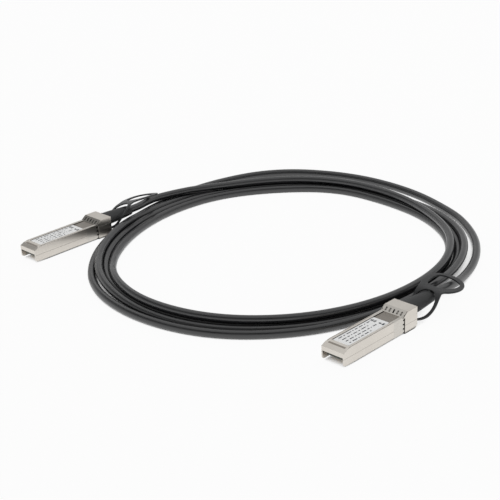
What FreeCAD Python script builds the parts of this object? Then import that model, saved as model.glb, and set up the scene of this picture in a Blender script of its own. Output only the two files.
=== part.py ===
import FreeCAD, Part

import math
import os
from types import SimpleNamespace

import Sketcher

# Direct attach copper cable: two small pluggable metal connectors joined by one
# round cable that lies in a flat coil.  Millimetres, +Z up, resting on Z = 0.
# Each connector is modelled in its own frame: X across, Y from the nose to the
# cable end, Z up from the surface it rests on.

VECTOR = FreeCAD.Vector
doc = FreeCAD.newDocument("direct_attach_cable")


# ---------------------------------------------------------------- the sheet

SHEET_ROWS = [
    # where the two connectors stand
    ("plug_spread", 209.6, "distance between the two connectors' centre lines"),
    ("plug_stagger", 17.5, "how much further back connector b stands"),
    # outside of the connector
    ("plug_width", 13.4, "width of the part that enters the cage"),
    ("plug_height", 8.5, "height of the part that enters the cage"),
    ("plug_lift", 0.7, "its underside above the block's underside"),
    ("front_length", 45.6, "nose to the front face of the rear block"),
    ("block_length", 9.8, "rear block, front to back"),
    ("block_width", 14.0, "rear block, across"),
    ("block_height", 11.4, "rear block, underside to top"),
    ("block_heel_radius", 2.5, "rounding of the block's lower rear edge"),
    ("block_edge_radius", 0.5, "rounding of the block's upper rear edges"),
    ("ramp_length", 2.8, "length of the slope up to the block's top"),
    ("ramp_lead", 0.9, "how far the slope starts ahead of the block"),
    ("seam_height", 4.5, "parting line of the two shells"),
    # mouth and lead-in
    ("mouth_depth", 6.5, "length of the nose that is open below"),
    ("mouth_wall", 0.6, "side walls of the mouth"),
    ("rim_height", 2.4, "front face of the rim over the mouth"),
    ("rim_drop", 1.6, "top of the rim below the connector's top"),
    ("lead_in_length", 5.3, "length of the sloped lead-in"),
    ("lead_in_break", 2.6, "where the lead-in changes slope"),
    ("lead_in_break_drop", 0.45, "depth of the lead-in at that break"),
    ("cheek_radius", 1.5, "rounded lower corners of the mouth's walls"),
    # walls
    ("side_wall", 1.2, "side walls of the shells"),
    ("floor_wall", 1.2, "floor of the lower shell"),
    ("roof_wall", 1.2, "roof of the upper shell"),
    ("end_wall", 1.0, "wall between the bay and the rear block"),
    # label recess
    ("rail_width", 1.7, "raised rails beside the label recess"),
    ("recess_depth", 0.35, "depth of the label recess"),
    ("recess_start", 5.5, "nose to the recess"),
    ("label_gap", 0.2, "label to the recess's edges"),
    ("label_end_gap", 0.9, "label's rear edge to the shielding collar"),
    ("label_thickness", 0.12, "label"),
    # circuit board and what it carries
    ("card_width", 9.2, "board"),
    ("card_thickness", 1.0, "board"),
    ("card_start", 1.5, "nose to the board's front edge"),
    ("card_length", 24.5, "board, along"),
    ("card_rise", 2.25, "board's underside above the connector's underside"),
    ("card_bevel", 0.3, "bevelled front edge of the board"),
    ("card_play", 0.1, "board to the bay's sides"),
    ("ledge_width", 0.6, "ledges that the board lies on"),
    ("pad_count", 10, "contact pads in a row"),
    ("pad_pitch", 0.8, "contact pads"),
    ("pad_width", 0.5, "contact pads"),
    ("pad_length", 4.2, "contact pads"),
    ("pad_thickness", 0.04, "contact pads"),
    ("pad_setback", 0.4, "pads behind the board's front edge"),
    ("chip_side", 3.0, "memory chip"),
    ("chip_height", 0.8, "memory chip"),
    ("chip_start", 13.0, "memory chip behind the board's front edge"),
    ("potting_width", 6.4, "glue block over the soldered wires"),
    ("potting_length", 7.0, "glue block over the soldered wires"),
    ("potting_height", 2.3, "glue block over the soldered wires"),
    ("potting_bevel", 0.6, "bevelled edges of the glue block"),
    ("wire_diameter", 1.2, "insulated wires inside the connector"),
    ("wire_spacing", 1.3, "insulated wires, centre to centre"),
    ("wire_step", 2.5, "straight run of a wire at each of its ends"),
    # screws
    ("screw_radius", 0.6, "shell screws"),
    ("screw_head_radius", 1.15, "shell screws"),
    ("screw_head_height", 0.7, "shell screws"),
    ("screw_sink", 0.15, "screw heads below the underside"),
    ("screw_spacing", 8.0, "shell screws, centre to centre"),
    ("screw_wall", 0.7, "wall round a screw"),
    ("screw_tip_gap", 0.4, "screw tips below the bay's roof"),
    # cable, ferrule and boot
    ("cable_diameter", 4.4, "cable jacket"),
    ("cable_height", 7.6, "cable's centre above the floor in the block"),
    ("slip_gap", 0.02, "pieces that slide over the jacket or in the bore"),
    ("ferrule_wall", 0.7, "crimped ferrule"),
    ("ferrule_length", 7.6, "crimped ferrule"),
    ("ferrule_setback", 0.8, "ferrule behind the block's rear face"),
    ("boot_length", 19.6, "strain relief boot"),
    ("boot_base_width", 10.8, "boot where it leaves the flange"),
    ("boot_base_height", 7.0, "boot where it leaves the flange"),
    ("boot_tip_width", 8.2, "boot's end"),
    ("boot_tip_height", 5.3, "boot's end"),
    ("boot_flange_width", 11.8, "boot's flange"),
    ("boot_flange_height", 7.4, "boot's flange"),
    ("boot_flange_length", 1.1, "boot's flange"),
    ("boot_round", 0.9, "rounding of the boot's end"),
    ("boot_bulge", 1.5, "how soon the boot narrows: 1 is a straight taper"),
    ("exit_run", 7.5, "straight run of the cable out of the boot"),
    # shielding collar
    ("collar_length", 8.4, "shielding collar, along"),
    ("collar_wall", 0.2, "shielding collar, sides and underside"),
    ("collar_floor", 0.15, "shielding collar under the recess"),
    ("collar_slot_width", 0.5, "gaps between the collar's fingers"),
    ("collar_slot_length", 1.3, "gaps between the collar's fingers"),
    ("collar_slot_pitch", 2.3, "gaps between the collar's fingers"),
    ("collar_slots", 5, "gaps in the collar's top"),
    ("collar_side_slots", 3, "gaps in each side of the collar"),
    # latch
    ("latch_width", 5.2, "latch rocker"),
    ("latch_play", 0.6, "rocker to the sides of its pocket"),
    ("latch_pocket_roof", 3.9, "roof of the latch pocket above the floor"),
    ("pivot_setback", 3.6, "latch pivot ahead of the block"),
    ("pivot_height", 1.7, "latch pivot above the floor"),
    ("pivot_barrel_radius", 0.95, "rocker round its pin"),
    ("pin_radius", 0.5, "latch pin"),
    ("pin_play", 0.05, "rocker's bore round the pin"),
    ("arm_play", 2.35, "rocker's front end to its pocket's front"),
    ("arm_bottom", 1.2, "rocker's underside above the floor"),
    ("arm_top", 2.3, "rocker's top above the floor"),
    ("tail_length", 2.8, "rocker, pivot to its rear end"),
    ("tail_rise", 0.6, "raised pad on the rocker's tail"),
    ("tail_ramp", 1.0, "slope and place of that pad behind the pivot"),
    ("boss_width", 2.8, "latch boss under the rocker"),
    ("boss_length", 2.6, "flat of the latch boss"),
    ("boss_inset", 2.4, "latch boss behind the rocker's front end"),
    ("boss_slope", 0.5, "sloped faces of the boss"),
    ("boss_drop", 0.6, "latch boss below the connector's underside"),
    ("spring_radius", 0.85, "latch spring, centre of its wire"),
    ("spring_wire", 0.3, "latch spring wire"),
    ("spring_turns", 2.5, "latch spring"),
    # release slider
    ("slider_thickness", 0.7, "release slider"),
    ("slider_play", 0.1, "slider above and below"),
    ("slider_width", 12.4, "release slider"),
    ("slider_rail", 1.2, "its two side rails"),
    ("slider_web", 2.4, "its cross web"),
    ("slider_inset", 1.3, "web behind the block's front face"),
    ("slider_slot_inset", 0.8, "slot behind the block's front face"),
    ("slider_travel", 2.5, "how far the tab is pulled"),
    ("slider_overhang", 0.3, "rails behind the block's rear face"),
    ("tongue_width", 3.6, "slider's tongue over the rocker"),
    ("cam_length", 1.0, "cam under the tongue's end"),
    ("cam_lead", 1.1, "front of the cam ahead of the pivot"),
    ("cam_depth", 0.35, "cam below the tongue"),
    # pull tab
    ("tab_thickness", 1.2, "pull tab"),
    ("tab_height", 11.0, "flat part of the tab above the floor"),
    ("tab_leg_height", 3.8, "legs where they leave the block"),
    ("tab_leg_dip", 0.3, "lowest stretch of the legs, below that"),
    ("tab_leg_low", 5.6, "that stretch, behind the block"),
    ("tab_leg_rise", 10.8, "legs half way up, behind the block"),
    ("tab_leg_top", 18.4, "where the tab is flat, behind the block"),
    ("tab_width", 14.0, "tab round the boot"),
    ("tab_strap", 1.6, "legs and near loop, across"),
    ("tab_loop_centre", 14.1, "near loop's arc behind the block"),
    ("tab_waist", 10.4, "tab between its two loops"),
    ("ring_radius", 9.5, "finger ring"),
    ("ring_setback", 32.1, "finger ring's centre behind the block"),
    ("ring_hole_width", 14.5, "finger ring's hole"),
    ("ring_hole_length", 12.5, "finger ring's hole"),
    ("ring_roll_a", 15.0, "degrees by which tab a's ring is twisted"),
    ("ring_roll_b", 0.0, "degrees by which tab b's ring is twisted"),
    # coil
    ("coil_x", -8.0, "centre of the coil's outer edge"),
    ("coil_y", 48.8, "centre of the coil's outer edge"),
    ("coil_major", 118.5, "outer edge"),
    ("coil_minor", 99.8, "outer edge"),
    ("coil_turn", -68.0, "degrees, direction of the longer half axis"),
    ("coil_hole_x", -1.8, "centre of the coil's hole"),
    ("coil_hole_y", 43.2, "centre of the coil's hole"),
    ("coil_hole_major", 94.6, "hole"),
    ("coil_hole_minor", 86.4, "hole"),
    ("coil_hole_turn", -83.0, "degrees, direction of the longer half axis"),
    ("coil_crown", 3.9, "second layer above the first"),
    ("coil_shoulder", 7.5, "second layer inside the outer edge"),
    ("coil_lip", 2.0, "second layer outside the hole"),
    ("coil_clearance", 0.5, "coil to the nearer leg of tab a"),
]


# Flats of the two kinds of bent wire: round its section, and along one spring turn.
WIRE_FLATS = 10
SPRING_CORNERS = 10


class Size:
    """A number of the model together with the sheet expression that gives it."""

    def __init__(self, value, text):
        self.value = float(value)
        self.text = text

    def _join(self, other, sign, value):
        other = size(other)
        return Size(value(self.value, other.value), f"({self.text} {sign} {other.text})")

    def __add__(self, other):
        return self._join(other, "+", lambda a, b: a + b)

    def __sub__(self, other):
        return self._join(other, "-", lambda a, b: a - b)

    def __mul__(self, other):
        return self._join(other, "*", lambda a, b: a * b)

    def __truediv__(self, other):
        return self._join(other, "/", lambda a, b: a / b)

    def __neg__(self):
        return Size(-self.value, f"(0 - {self.text})")


def size(value):
    """A plain number as a Size, so that both can be mixed."""
    return value if isinstance(value, Size) else Size(value, f"({value})")


def make_sheet():
    """The spreadsheet with one alias per driving dimension."""
    sheet = doc.addObject("Spreadsheet::Sheet", "sizes")
    sizes = SimpleNamespace()
    for row, (alias, value, note) in enumerate(SHEET_ROWS, start=1):
        sheet.set(f"A{row}", note)
        sheet.set(f"B{row}", str(value))
        sheet.setAlias(f"B{row}", alias)
        setattr(sizes, alias, Size(value, f"sizes.{alias}"))
    doc.recompute()
    return sizes


def bind(thing, path, value):
    """Tie one property of an object to the sheet."""
    thing.setExpression(path, size(value).text)


# ------------------------------------------------- sketches and body features

def origin_plane(body, role):
    return next(item for item in body.Origin.OriginFeatures if item.Role == role)


def new_sketch(body, name, role, offset):
    """A sketch on one of the body's own planes, moved along its normal."""
    sketch = body.newObject("Sketcher::SketchObject", name)
    sketch.AttachmentSupport = [(origin_plane(body, role), "")]
    sketch.MapMode = "FlatFace"
    bind(sketch, "AttachmentOffset.Base.z", offset)
    return sketch


def fix_point(sketch, geometry, vertex, label, x, y):
    """Tie one sketch point to two sizes measured from the sketch's origin."""
    for kind, way, value in (("DistanceX", "x", x), ("DistanceY", "y", y)):
        value = size(value)
        index = sketch.addConstraint(
            Sketcher.Constraint(kind, -1, 1, geometry, vertex, value.value))
        sketch.renameConstraint(index, f"{way}{label}")
        bind(sketch, f"Constraints.{way}{label}", value)


def add_polygon(sketch, corners, prefix="p"):
    """A closed outline of straight lines through the corners."""
    first = sketch.GeometryCount
    corners = [(size(x), size(y)) for x, y in corners]
    count = len(corners)
    for index in range(count):
        here = corners[index]
        there = corners[(index + 1) % count]
        sketch.addGeometry(Part.LineSegment(
            VECTOR(here[0].value, here[1].value, 0),
            VECTOR(there[0].value, there[1].value, 0)), False)
    for index in range(count):
        sketch.addConstraint(Sketcher.Constraint(
            "Coincident", first + index, 2, first + (index + 1) % count, 1))
        fix_point(sketch, first + index, 1, f"{prefix}{index}", *corners[index])


def add_rectangle(sketch, x_low, x_high, y_low, y_high, prefix="p"):
    corners = [(x_low, y_low), (x_high, y_low), (x_high, y_high), (x_low, y_high)]
    add_polygon(sketch, corners, prefix)


def add_circle(sketch, x, y, radius, prefix="c"):
    x, y, radius = size(x), size(y), size(radius)
    index = sketch.addGeometry(Part.Circle(
        VECTOR(x.value, y.value, 0), VECTOR(0, 0, 1), radius.value), False)
    fix_point(sketch, index, 3, prefix, x, y)
    constraint = sketch.addConstraint(Sketcher.Constraint("Radius", index, radius.value))
    sketch.renameConstraint(constraint, f"radius{prefix}")
    bind(sketch, f"Constraints.radius{prefix}", radius)


def pad(body, sketch, length, both_ways=False, backwards=False):
    """Material along the sketch's normal."""
    feature = body.newObject("PartDesign::Pad", f"{sketch.Name}_pad")
    feature.Profile = sketch
    bind(feature, "Length", length)
    if both_ways:
        feature.SideType = "Symmetric"
    feature.Reversed = backwards
    doc.recompute()
    return feature


def pocket(body, sketch, length, both_ways=False, forwards=False):
    """Material taken away; forwards means along the sketch's normal."""
    before = body.Shape.Volume
    feature = body.newObject("PartDesign::Pocket", f"{sketch.Name}_cut")
    feature.Profile = sketch
    bind(feature, "Length", length)
    if both_ways:
        feature.SideType = "Symmetric"
    feature.Reversed = forwards
    doc.recompute()
    if body.Shape.Volume >= before:
        raise RuntimeError(f"{feature.Name} cuts nothing")
    return feature


def edges_along(shape, axis, first, second):
    """Names of the straight edges along an axis at two given coordinates."""
    others = [way for way in "xyz" if way != axis]
    wanted = (size(first).value, size(second).value)
    names = []
    for number, edge in enumerate(shape.Edges, start=1):
        ends = [vertex.Point for vertex in edge.Vertexes]
        if len(ends) == 2 and all(
                math.isclose(getattr(end, way), value, abs_tol=1e-4)
                for end in ends for way, value in zip(others, wanted)):
            names.append(f"Edge{number}")
    return names


def round_edges(body, name, edge_names, radius, kind="Fillet"):
    """A fillet or chamfer on named edges of the body's last feature."""
    base = body.Tip
    feature = body.newObject(f"PartDesign::{kind}", name)
    feature.Base = (base, edge_names)
    bind(feature, "Radius" if kind == "Fillet" else "Size", radius)
    doc.recompute()
    return feature


# --------------------------------------------------- primitives and booleans

FRAME = SimpleNamespace(x=size(0), y=size(0))


def place(thing, at, x=0, y=0, z=0):
    """Move a thing to a point given in the frame of the connector it is in."""
    bind(thing, "Placement.Base.x", at.x + x)
    bind(thing, "Placement.Base.y", at.y + y)
    bind(thing, "Placement.Base.z", z)
    return thing


def box(name, at, x_low, x_high, y_low, y_high, z_low, z_high):
    block = doc.addObject("Part::Box", name)
    bind(block, "Length", size(x_high) - x_low)
    bind(block, "Width", size(y_high) - y_low)
    bind(block, "Height", size(z_high) - z_low)
    return place(block, at, x_low, y_low, z_low)


ALONG = {
    "x": FreeCAD.Rotation(VECTOR(0, 1, 0), 90),
    "y": FreeCAD.Rotation(VECTOR(1, 0, 0), -90),
    "z": FreeCAD.Rotation(),
}


def cylinder(name, at, axis, centre, radius, length):
    """A cylinder that starts at its centre point and runs along an axis."""
    rod = doc.addObject("Part::Cylinder", name)
    bind(rod, "Radius", radius)
    bind(rod, "Height", length)
    rod.Placement = FreeCAD.Placement(VECTOR(), ALONG[axis])
    return place(rod, at, *centre)


def oval(name, at, centre, width, height, turn=None):
    """An ellipse outline: upright across Y, or flat and turned about Z."""
    ring = doc.addObject("Part::Ellipse", name)
    bind(ring, "MajorRadius", size(width) / 2)
    bind(ring, "MinorRadius", size(height) / 2)
    if turn is None:
        upright = FreeCAD.Rotation(VECTOR(1, 0, 0), 90)
        ring.Placement = FreeCAD.Placement(VECTOR(), upright)
    else:
        ring.Placement = FreeCAD.Placement(VECTOR(), FreeCAD.Rotation(VECTOR(0, 0, 1), 1))
        bind(ring, "Placement.Rotation.Angle", turn)
    return place(ring, at, *centre)


def extrude(name, outline, direction, length):
    solid = doc.addObject("Part::Extrusion", name)
    solid.Base = outline
    solid.DirMode = "Custom"
    solid.Dir = direction
    solid.Solid = True
    bind(solid, "LengthFwd", length)
    return solid


def boolean(kind, name, shapes):
    """A MultiFuse or MultiCommon of several shapes, or a Cut of two."""
    result = doc.addObject(f"Part::{kind}", name)
    if kind == "Cut":
        result.Base, result.Tool = shapes
    else:
        result.Shapes = shapes
    return result


# ------------------------------------------------------------- derived places

def derive(s, x, y, roll):
    """Heights and stations of one connector that follow from the sheet."""
    p = SimpleNamespace(x=x, y=y, roll=roll)
    p.bottom = s.plug_lift
    p.top = s.plug_lift + s.plug_height
    p.half = s.plug_width / 2
    p.block_rear = s.front_length + s.block_length
    p.ceiling = p.top - s.roof_wall
    p.bay_floor = p.bottom + s.floor_wall
    p.bay_half = p.half - s.side_wall
    p.rim_top = p.top - s.rim_drop
    p.rim_bottom = p.rim_top - s.rim_height
    p.recess_floor = p.top - s.recess_depth
    p.recess_half = p.half - s.rail_width
    p.card_bottom = p.bottom + s.card_rise
    p.card_top = p.card_bottom + s.card_thickness
    p.card_end = s.card_start + s.card_length
    p.pivot_y = s.front_length - s.pivot_setback
    p.screw_y = (p.card_end + s.card_play) + (s.screw_radius + s.screw_wall + s.end_wall)
    p.pocket_start = p.screw_y + s.screw_head_radius + s.screw_wall
    p.arm_front = p.pocket_start + s.arm_play
    p.boss_y = p.arm_front + s.boss_inset
    p.collar_start = s.front_length - s.collar_length
    p.collar_seat = p.recess_floor - s.collar_floor
    p.bore_radius = s.cable_diameter / 2 + s.slip_gap + s.ferrule_wall + s.slip_gap
    p.ferrule_end = p.block_rear - s.ferrule_setback
    p.ferrule_start = p.ferrule_end - s.ferrule_length
    p.slot_top = s.latch_pocket_roof
    p.slider_top = p.slot_top - s.slider_play
    p.slider_bottom = p.slider_top - s.slider_thickness
    p.slider_rear = p.block_rear + s.slider_overhang
    p.boot_end = p.block_rear + s.boot_length
    return p


# ------------------------------------------------------- sub-parts of a plug

def lower_shell(key, s, p):
    """Cast tray: open mouth, board bay, latch pocket, slider slot, cable seat."""
    body = doc.addObject("PartDesign::Body", f"lower_shell_{key}")
    tray = new_sketch(body, f"tray_{key}", "YZ_Plane", 0)
    add_rectangle(tray, 0, s.front_length, p.bottom, s.seam_height)
    pad(body, tray, s.plug_width, both_ways=True)
    seat = new_sketch(body, f"lower_collar_seat_{key}", "XZ_Plane", -s.front_length)
    wide, deep = p.half + s.side_wall, p.bottom - s.floor_wall
    narrow, floor = p.half - s.collar_wall, p.bottom + s.collar_wall
    add_polygon(seat, [(-wide, deep), (wide, deep), (wide, s.seam_height), (narrow, s.seam_height),
                       (narrow, floor), (-narrow, floor), (-narrow, s.seam_height),
                       (-wide, s.seam_height)])
    pocket(body, seat, s.collar_length, forwards=True)
    block = new_sketch(body, f"lower_block_{key}", "YZ_Plane", 0)
    add_rectangle(block, s.front_length, p.block_rear, 0, s.cable_height)
    pad(body, block, s.block_width, both_ways=True)
    heel = edges_along(body.Shape, "x", p.block_rear, 0)
    round_edges(body, f"heel_{key}", heel, s.block_heel_radius)
    mouth = new_sketch(body, f"mouth_floor_{key}", "XY_Plane", s.seam_height)
    mouth_half = p.half - s.mouth_wall
    add_rectangle(mouth, -mouth_half, mouth_half, 0, s.mouth_depth)
    pocket(body, mouth, s.seam_height)
    cheeks = edges_along(body.Shape, "x", 0, p.bottom)
    round_edges(body, f"cheeks_{key}", cheeks, s.cheek_radius)
    bay = new_sketch(body, f"board_bay_{key}", "XY_Plane", s.seam_height)
    bay_half = s.card_width / 2 + s.card_play
    add_rectangle(bay, -bay_half, bay_half, s.mouth_depth, p.card_end + s.card_play)
    pocket(body, bay, s.seam_height - p.card_bottom)
    well = new_sketch(body, f"bay_well_{key}", "XY_Plane", p.card_bottom)
    well_half = s.card_width / 2 - s.ledge_width
    add_rectangle(well, -well_half, well_half, s.mouth_depth, p.card_end - s.ledge_width)
    pocket(body, well, p.card_bottom - p.bay_floor)
    latch = new_sketch(body, f"latch_pocket_{key}", "XY_Plane", 0)
    latch_half = s.latch_width / 2 + s.latch_play
    add_rectangle(latch, -latch_half, latch_half, p.pocket_start,
                  s.front_length + s.slider_slot_inset)
    pocket(body, latch, s.latch_pocket_roof, forwards=True)
    slot = new_sketch(body, f"slider_slot_{key}", "XY_Plane", p.slot_top)
    slot_half = s.slider_width / 2 + s.slider_play
    add_rectangle(slot, -slot_half, slot_half, s.front_length + s.slider_slot_inset, p.block_rear)
    pocket(body, slot, s.slider_thickness + s.slider_play * 2)
    bore = new_sketch(body, f"lower_bore_{key}", "XZ_Plane", -p.block_rear)
    add_circle(bore, 0, s.cable_height, p.bore_radius)
    pocket(body, bore, s.block_length + s.end_wall, forwards=True)
    pin = new_sketch(body, f"pin_bore_{key}", "YZ_Plane", 0)
    add_circle(pin, p.pivot_y, s.pivot_height, s.pin_radius)
    pocket(body, pin, s.plug_width, both_ways=True)
    heads = new_sketch(body, f"screw_heads_{key}", "XY_Plane", 0)
    shanks = new_sketch(body, f"screw_shanks_{key}", "XY_Plane", 0)
    for side, sign in (("l", -1), ("r", 1)):
        add_circle(heads, s.screw_spacing * sign / 2, p.screw_y,
                   s.screw_head_radius + s.card_play, side)
        add_circle(shanks, s.screw_spacing * sign / 2, p.screw_y, s.screw_radius, side)
    pocket(body, heads, p.bottom + s.screw_sink + s.screw_head_height, forwards=True)
    pocket(body, shanks, s.seam_height, forwards=True)
    return body


def upper_shell(key, s, p):
    """Cover: sloped lead-in, label recess, collar seat, ramp and upper block."""
    body = doc.addObject("PartDesign::Body", f"upper_shell_{key}")
    cover = new_sketch(body, f"cover_{key}", "YZ_Plane", 0)
    add_polygon(cover, [(0, s.seam_height), (s.front_length, s.seam_height),
                        (s.front_length, p.top), (s.lead_in_length, p.top),
                        (s.lead_in_break, p.top - s.lead_in_break_drop), (0, p.rim_top)])
    pad(body, cover, s.plug_width, both_ways=True)
    seat = new_sketch(body, f"upper_collar_seat_{key}", "XZ_Plane", -s.front_length)
    wide, high = p.half + s.side_wall, p.top + s.roof_wall
    narrow = p.half - s.collar_wall
    add_polygon(seat, [(-wide, s.seam_height), (-narrow, s.seam_height), (-narrow, p.collar_seat),
                       (narrow, p.collar_seat), (narrow, s.seam_height), (wide, s.seam_height),
                       (wide, high), (-wide, high)])
    pocket(body, seat, s.collar_length, forwards=True)
    block = new_sketch(body, f"upper_block_{key}", "YZ_Plane", 0)
    slope = s.ramp_length / (s.block_height - p.top)
    foot = s.front_length - s.ramp_lead + s.collar_wall
    sole = foot - slope * (p.top - p.collar_seat)
    add_polygon(block, [(s.front_length, s.cable_height), (p.block_rear, s.cable_height),
                        (p.block_rear, s.block_height), (foot + s.ramp_length, s.block_height),
                        (sole, p.collar_seat), (s.front_length, p.collar_seat)])
    pad(body, block, s.block_width, both_ways=True)
    crown = edges_along(body.Shape, "x", p.block_rear, s.block_height)
    for side in (-1, 1):
        crown += edges_along(body.Shape, "y", s.block_width * side / 2, s.block_height)
    round_edges(body, f"crown_{key}", crown, s.block_edge_radius)
    mouth = new_sketch(body, f"mouth_roof_{key}", "XY_Plane", s.seam_height)
    mouth_half = p.half - s.mouth_wall
    add_rectangle(mouth, -mouth_half, mouth_half, 0, s.mouth_depth)
    pocket(body, mouth, p.rim_bottom - s.seam_height, forwards=True)
    bay = new_sketch(body, f"wire_bay_{key}", "XY_Plane", s.seam_height)
    add_rectangle(bay, -p.bay_half, p.bay_half, s.mouth_depth, s.front_length - s.end_wall)
    pocket(body, bay, p.ceiling - s.seam_height, forwards=True)
    recess = new_sketch(body, f"label_recess_{key}", "XY_Plane", p.top)
    add_rectangle(recess, -p.recess_half, p.recess_half, s.recess_start, p.collar_start)
    pocket(body, recess, s.recess_depth)
    posts = new_sketch(body, f"screw_posts_{key}", "XY_Plane", s.seam_height)
    for side, sign in (("l", -1), ("r", 1)):
        add_circle(posts, s.screw_spacing * sign / 2, p.screw_y,
                   s.screw_radius + s.screw_wall, side)
    pad(body, posts, p.ceiling - s.seam_height)
    holes = new_sketch(body, f"screw_holes_{key}", "XY_Plane", s.seam_height)
    for side, sign in (("l", -1), ("r", 1)):
        add_circle(holes, s.screw_spacing * sign / 2, p.screw_y, s.screw_radius, side)
    pocket(body, holes, p.ceiling - s.screw_tip_gap - s.seam_height, forwards=True)
    bore = new_sketch(body, f"upper_bore_{key}", "XZ_Plane", -p.block_rear)
    add_circle(bore, 0, s.cable_height, p.bore_radius)
    pocket(body, bore, s.block_length + s.end_wall, forwards=True)
    return body


def emi_gasket(key, s, p):
    """Folded shielding collar with spring fingers up the ramp."""
    body = doc.addObject("PartDesign::Body", f"emi_gasket_{key}")
    slope = s.ramp_length / (s.block_height - p.top)
    foot = s.front_length - s.ramp_lead
    sole = foot - slope * (p.top - p.collar_seat)
    band = new_sketch(body, f"band_{key}", "XZ_Plane", -p.collar_start)
    inner = p.half - s.collar_wall
    add_rectangle(band, -p.half, p.half, p.bottom, p.top, "outer")
    add_rectangle(band, -inner, inner, p.bottom + s.collar_wall, p.collar_seat, "inner")
    pad(body, band, sole + s.collar_wall - p.collar_start, backwards=True)
    dip = new_sketch(body, f"band_dip_{key}", "XY_Plane", p.top)
    add_rectangle(dip, -p.recess_half, p.recess_half, p.collar_start, s.front_length)
    pocket(body, dip, s.recess_depth)
    sides = new_sketch(body, f"side_fingers_{key}", "XZ_Plane", -s.front_length)
    for side, sign in (("l", -1), ("r", 1)):
        add_rectangle(sides, p.half * sign, inner * sign, p.bottom, p.collar_seat, side)
    pad(body, sides, s.front_length - sole)
    window = new_sketch(body, f"latch_window_{key}", "XY_Plane", 0)
    window_half = s.latch_width / 2 + s.latch_play
    add_rectangle(window, -window_half, window_half, p.collar_start, s.front_length)
    pocket(body, window, s.arm_bottom, forwards=True)
    fingers = new_sketch(body, f"ramp_fingers_{key}", "YZ_Plane", 0)
    add_polygon(fingers, [(sole, p.collar_seat), (sole + s.collar_wall, p.collar_seat),
                          (foot + s.ramp_length + s.collar_wall, s.block_height),
                          (foot + s.ramp_length, s.block_height)])
    pad(body, fingers, s.plug_width, both_ways=True)
    gap = new_sketch(body, f"finger_gaps_{key}", "XY_Plane", s.block_height)
    start = foot + s.collar_wall * 2
    first = -s.collar_slot_pitch * (s.collar_slots - 1) / 2
    for index in range(round(s.collar_slots.value)):
        middle = first + s.collar_slot_pitch * index
        add_rectangle(gap, middle - s.collar_slot_width / 2, middle + s.collar_slot_width / 2,
                      start, start + s.collar_slot_length, f"g{index}n")
    pocket(body, gap, s.block_height - p.top)
    notch = new_sketch(body, f"side_gaps_{key}", "YZ_Plane", 0)
    for index in range(round(s.collar_side_slots.value)):
        level = p.bottom + s.collar_slot_pitch * (index + 1)
        add_rectangle(notch, foot, s.front_length, level - s.collar_slot_width / 2,
                      level + s.collar_slot_width / 2, f"n{index}n")
    pocket(body, notch, s.plug_width, both_ways=True)
    return body


def label(key, s, p):
    """Thin sticker in the recess of the cover."""
    half = p.recess_half - s.label_gap
    return box(f"label_{key}", p, -half, half, s.recess_start + s.label_gap,
               p.collar_start - s.label_end_gap, p.recess_floor,
               p.recess_floor + s.label_thickness)


def paddle_card(key, s, p):
    """Circuit board whose bevelled front edge plugs into the host."""
    body = doc.addObject("PartDesign::Body", f"paddle_card_{key}")
    profile = new_sketch(body, f"card_profile_{key}", "YZ_Plane", 0)
    bevelled = s.card_start + s.card_bevel
    add_polygon(profile, [(s.card_start, p.card_bottom + s.card_bevel),
                          (bevelled, p.card_bottom), (p.card_end, p.card_bottom),
                          (p.card_end, p.card_top), (bevelled, p.card_top),
                          (s.card_start, p.card_top - s.card_bevel)])
    pad(body, profile, s.card_width, both_ways=True)
    return body


def edge_contacts(key, s, p):
    """Two rows of gold pads on the board's front edge."""
    start = s.card_start + s.pad_setback
    first = -s.pad_pitch * (s.pad_count - 1) / 2
    pads = []
    for row, low in (("top", p.card_top), ("under", p.card_bottom - s.pad_thickness)):
        for index in range(round(s.pad_count.value)):
            middle = first + s.pad_pitch * index
            pads.append(box(f"pad_{row}_{index}_{key}", p, middle - s.pad_width / 2,
                            middle + s.pad_width / 2, start, start + s.pad_length,
                            low, low + s.pad_thickness))
    group = doc.addObject("Part::Compound", f"edge_contacts_{key}")
    group.Links = pads
    return group


def memory_chip(key, s, p):
    """Small memory chip on the board."""
    start = s.card_start + s.chip_start
    return box(f"memory_chip_{key}", p, -s.chip_side / 2, s.chip_side / 2, start,
               start + s.chip_side, p.card_top, p.card_top + s.chip_height)


def potting_block(key, s, p):
    """Glue block that covers the soldered wires at the board's rear."""
    body = doc.addObject("PartDesign::Body", f"potting_block_{key}")
    plan = new_sketch(body, f"potting_plan_{key}", "XY_Plane", p.card_top)
    add_rectangle(plan, -s.potting_width / 2, s.potting_width / 2,
                  p.card_end - s.potting_length, p.card_end)
    pad(body, plan, s.potting_height)
    top = p.card_top + s.potting_height
    edges = edges_along(body.Shape, "x", p.card_end - s.potting_length, top)
    for side in (-1, 1):
        edges += edges_along(body.Shape, "y", s.potting_width * side / 2, top)
    round_edges(body, f"potting_bevel_{key}", edges, s.potting_bevel, "Chamfer")
    return body


def bent_wire(points, radius):
    """A thin wire along straight runs with mitred corners, its section a polygon."""
    along = points[1].sub(points[0])
    turned = FreeCAD.Rotation(VECTOR(0, 0, 1), along)
    ring = [points[0] + turned.multVec(VECTOR(radius * math.cos(angle), radius * math.sin(angle), 0))
            for angle in (2 * math.pi * index / WIRE_FLATS for index in range(WIRE_FLATS))]
    section = Part.makePolygon(ring + ring[:1])
    return Part.makePolygon(points).makePipeShell([section], True, False, 1)


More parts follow.
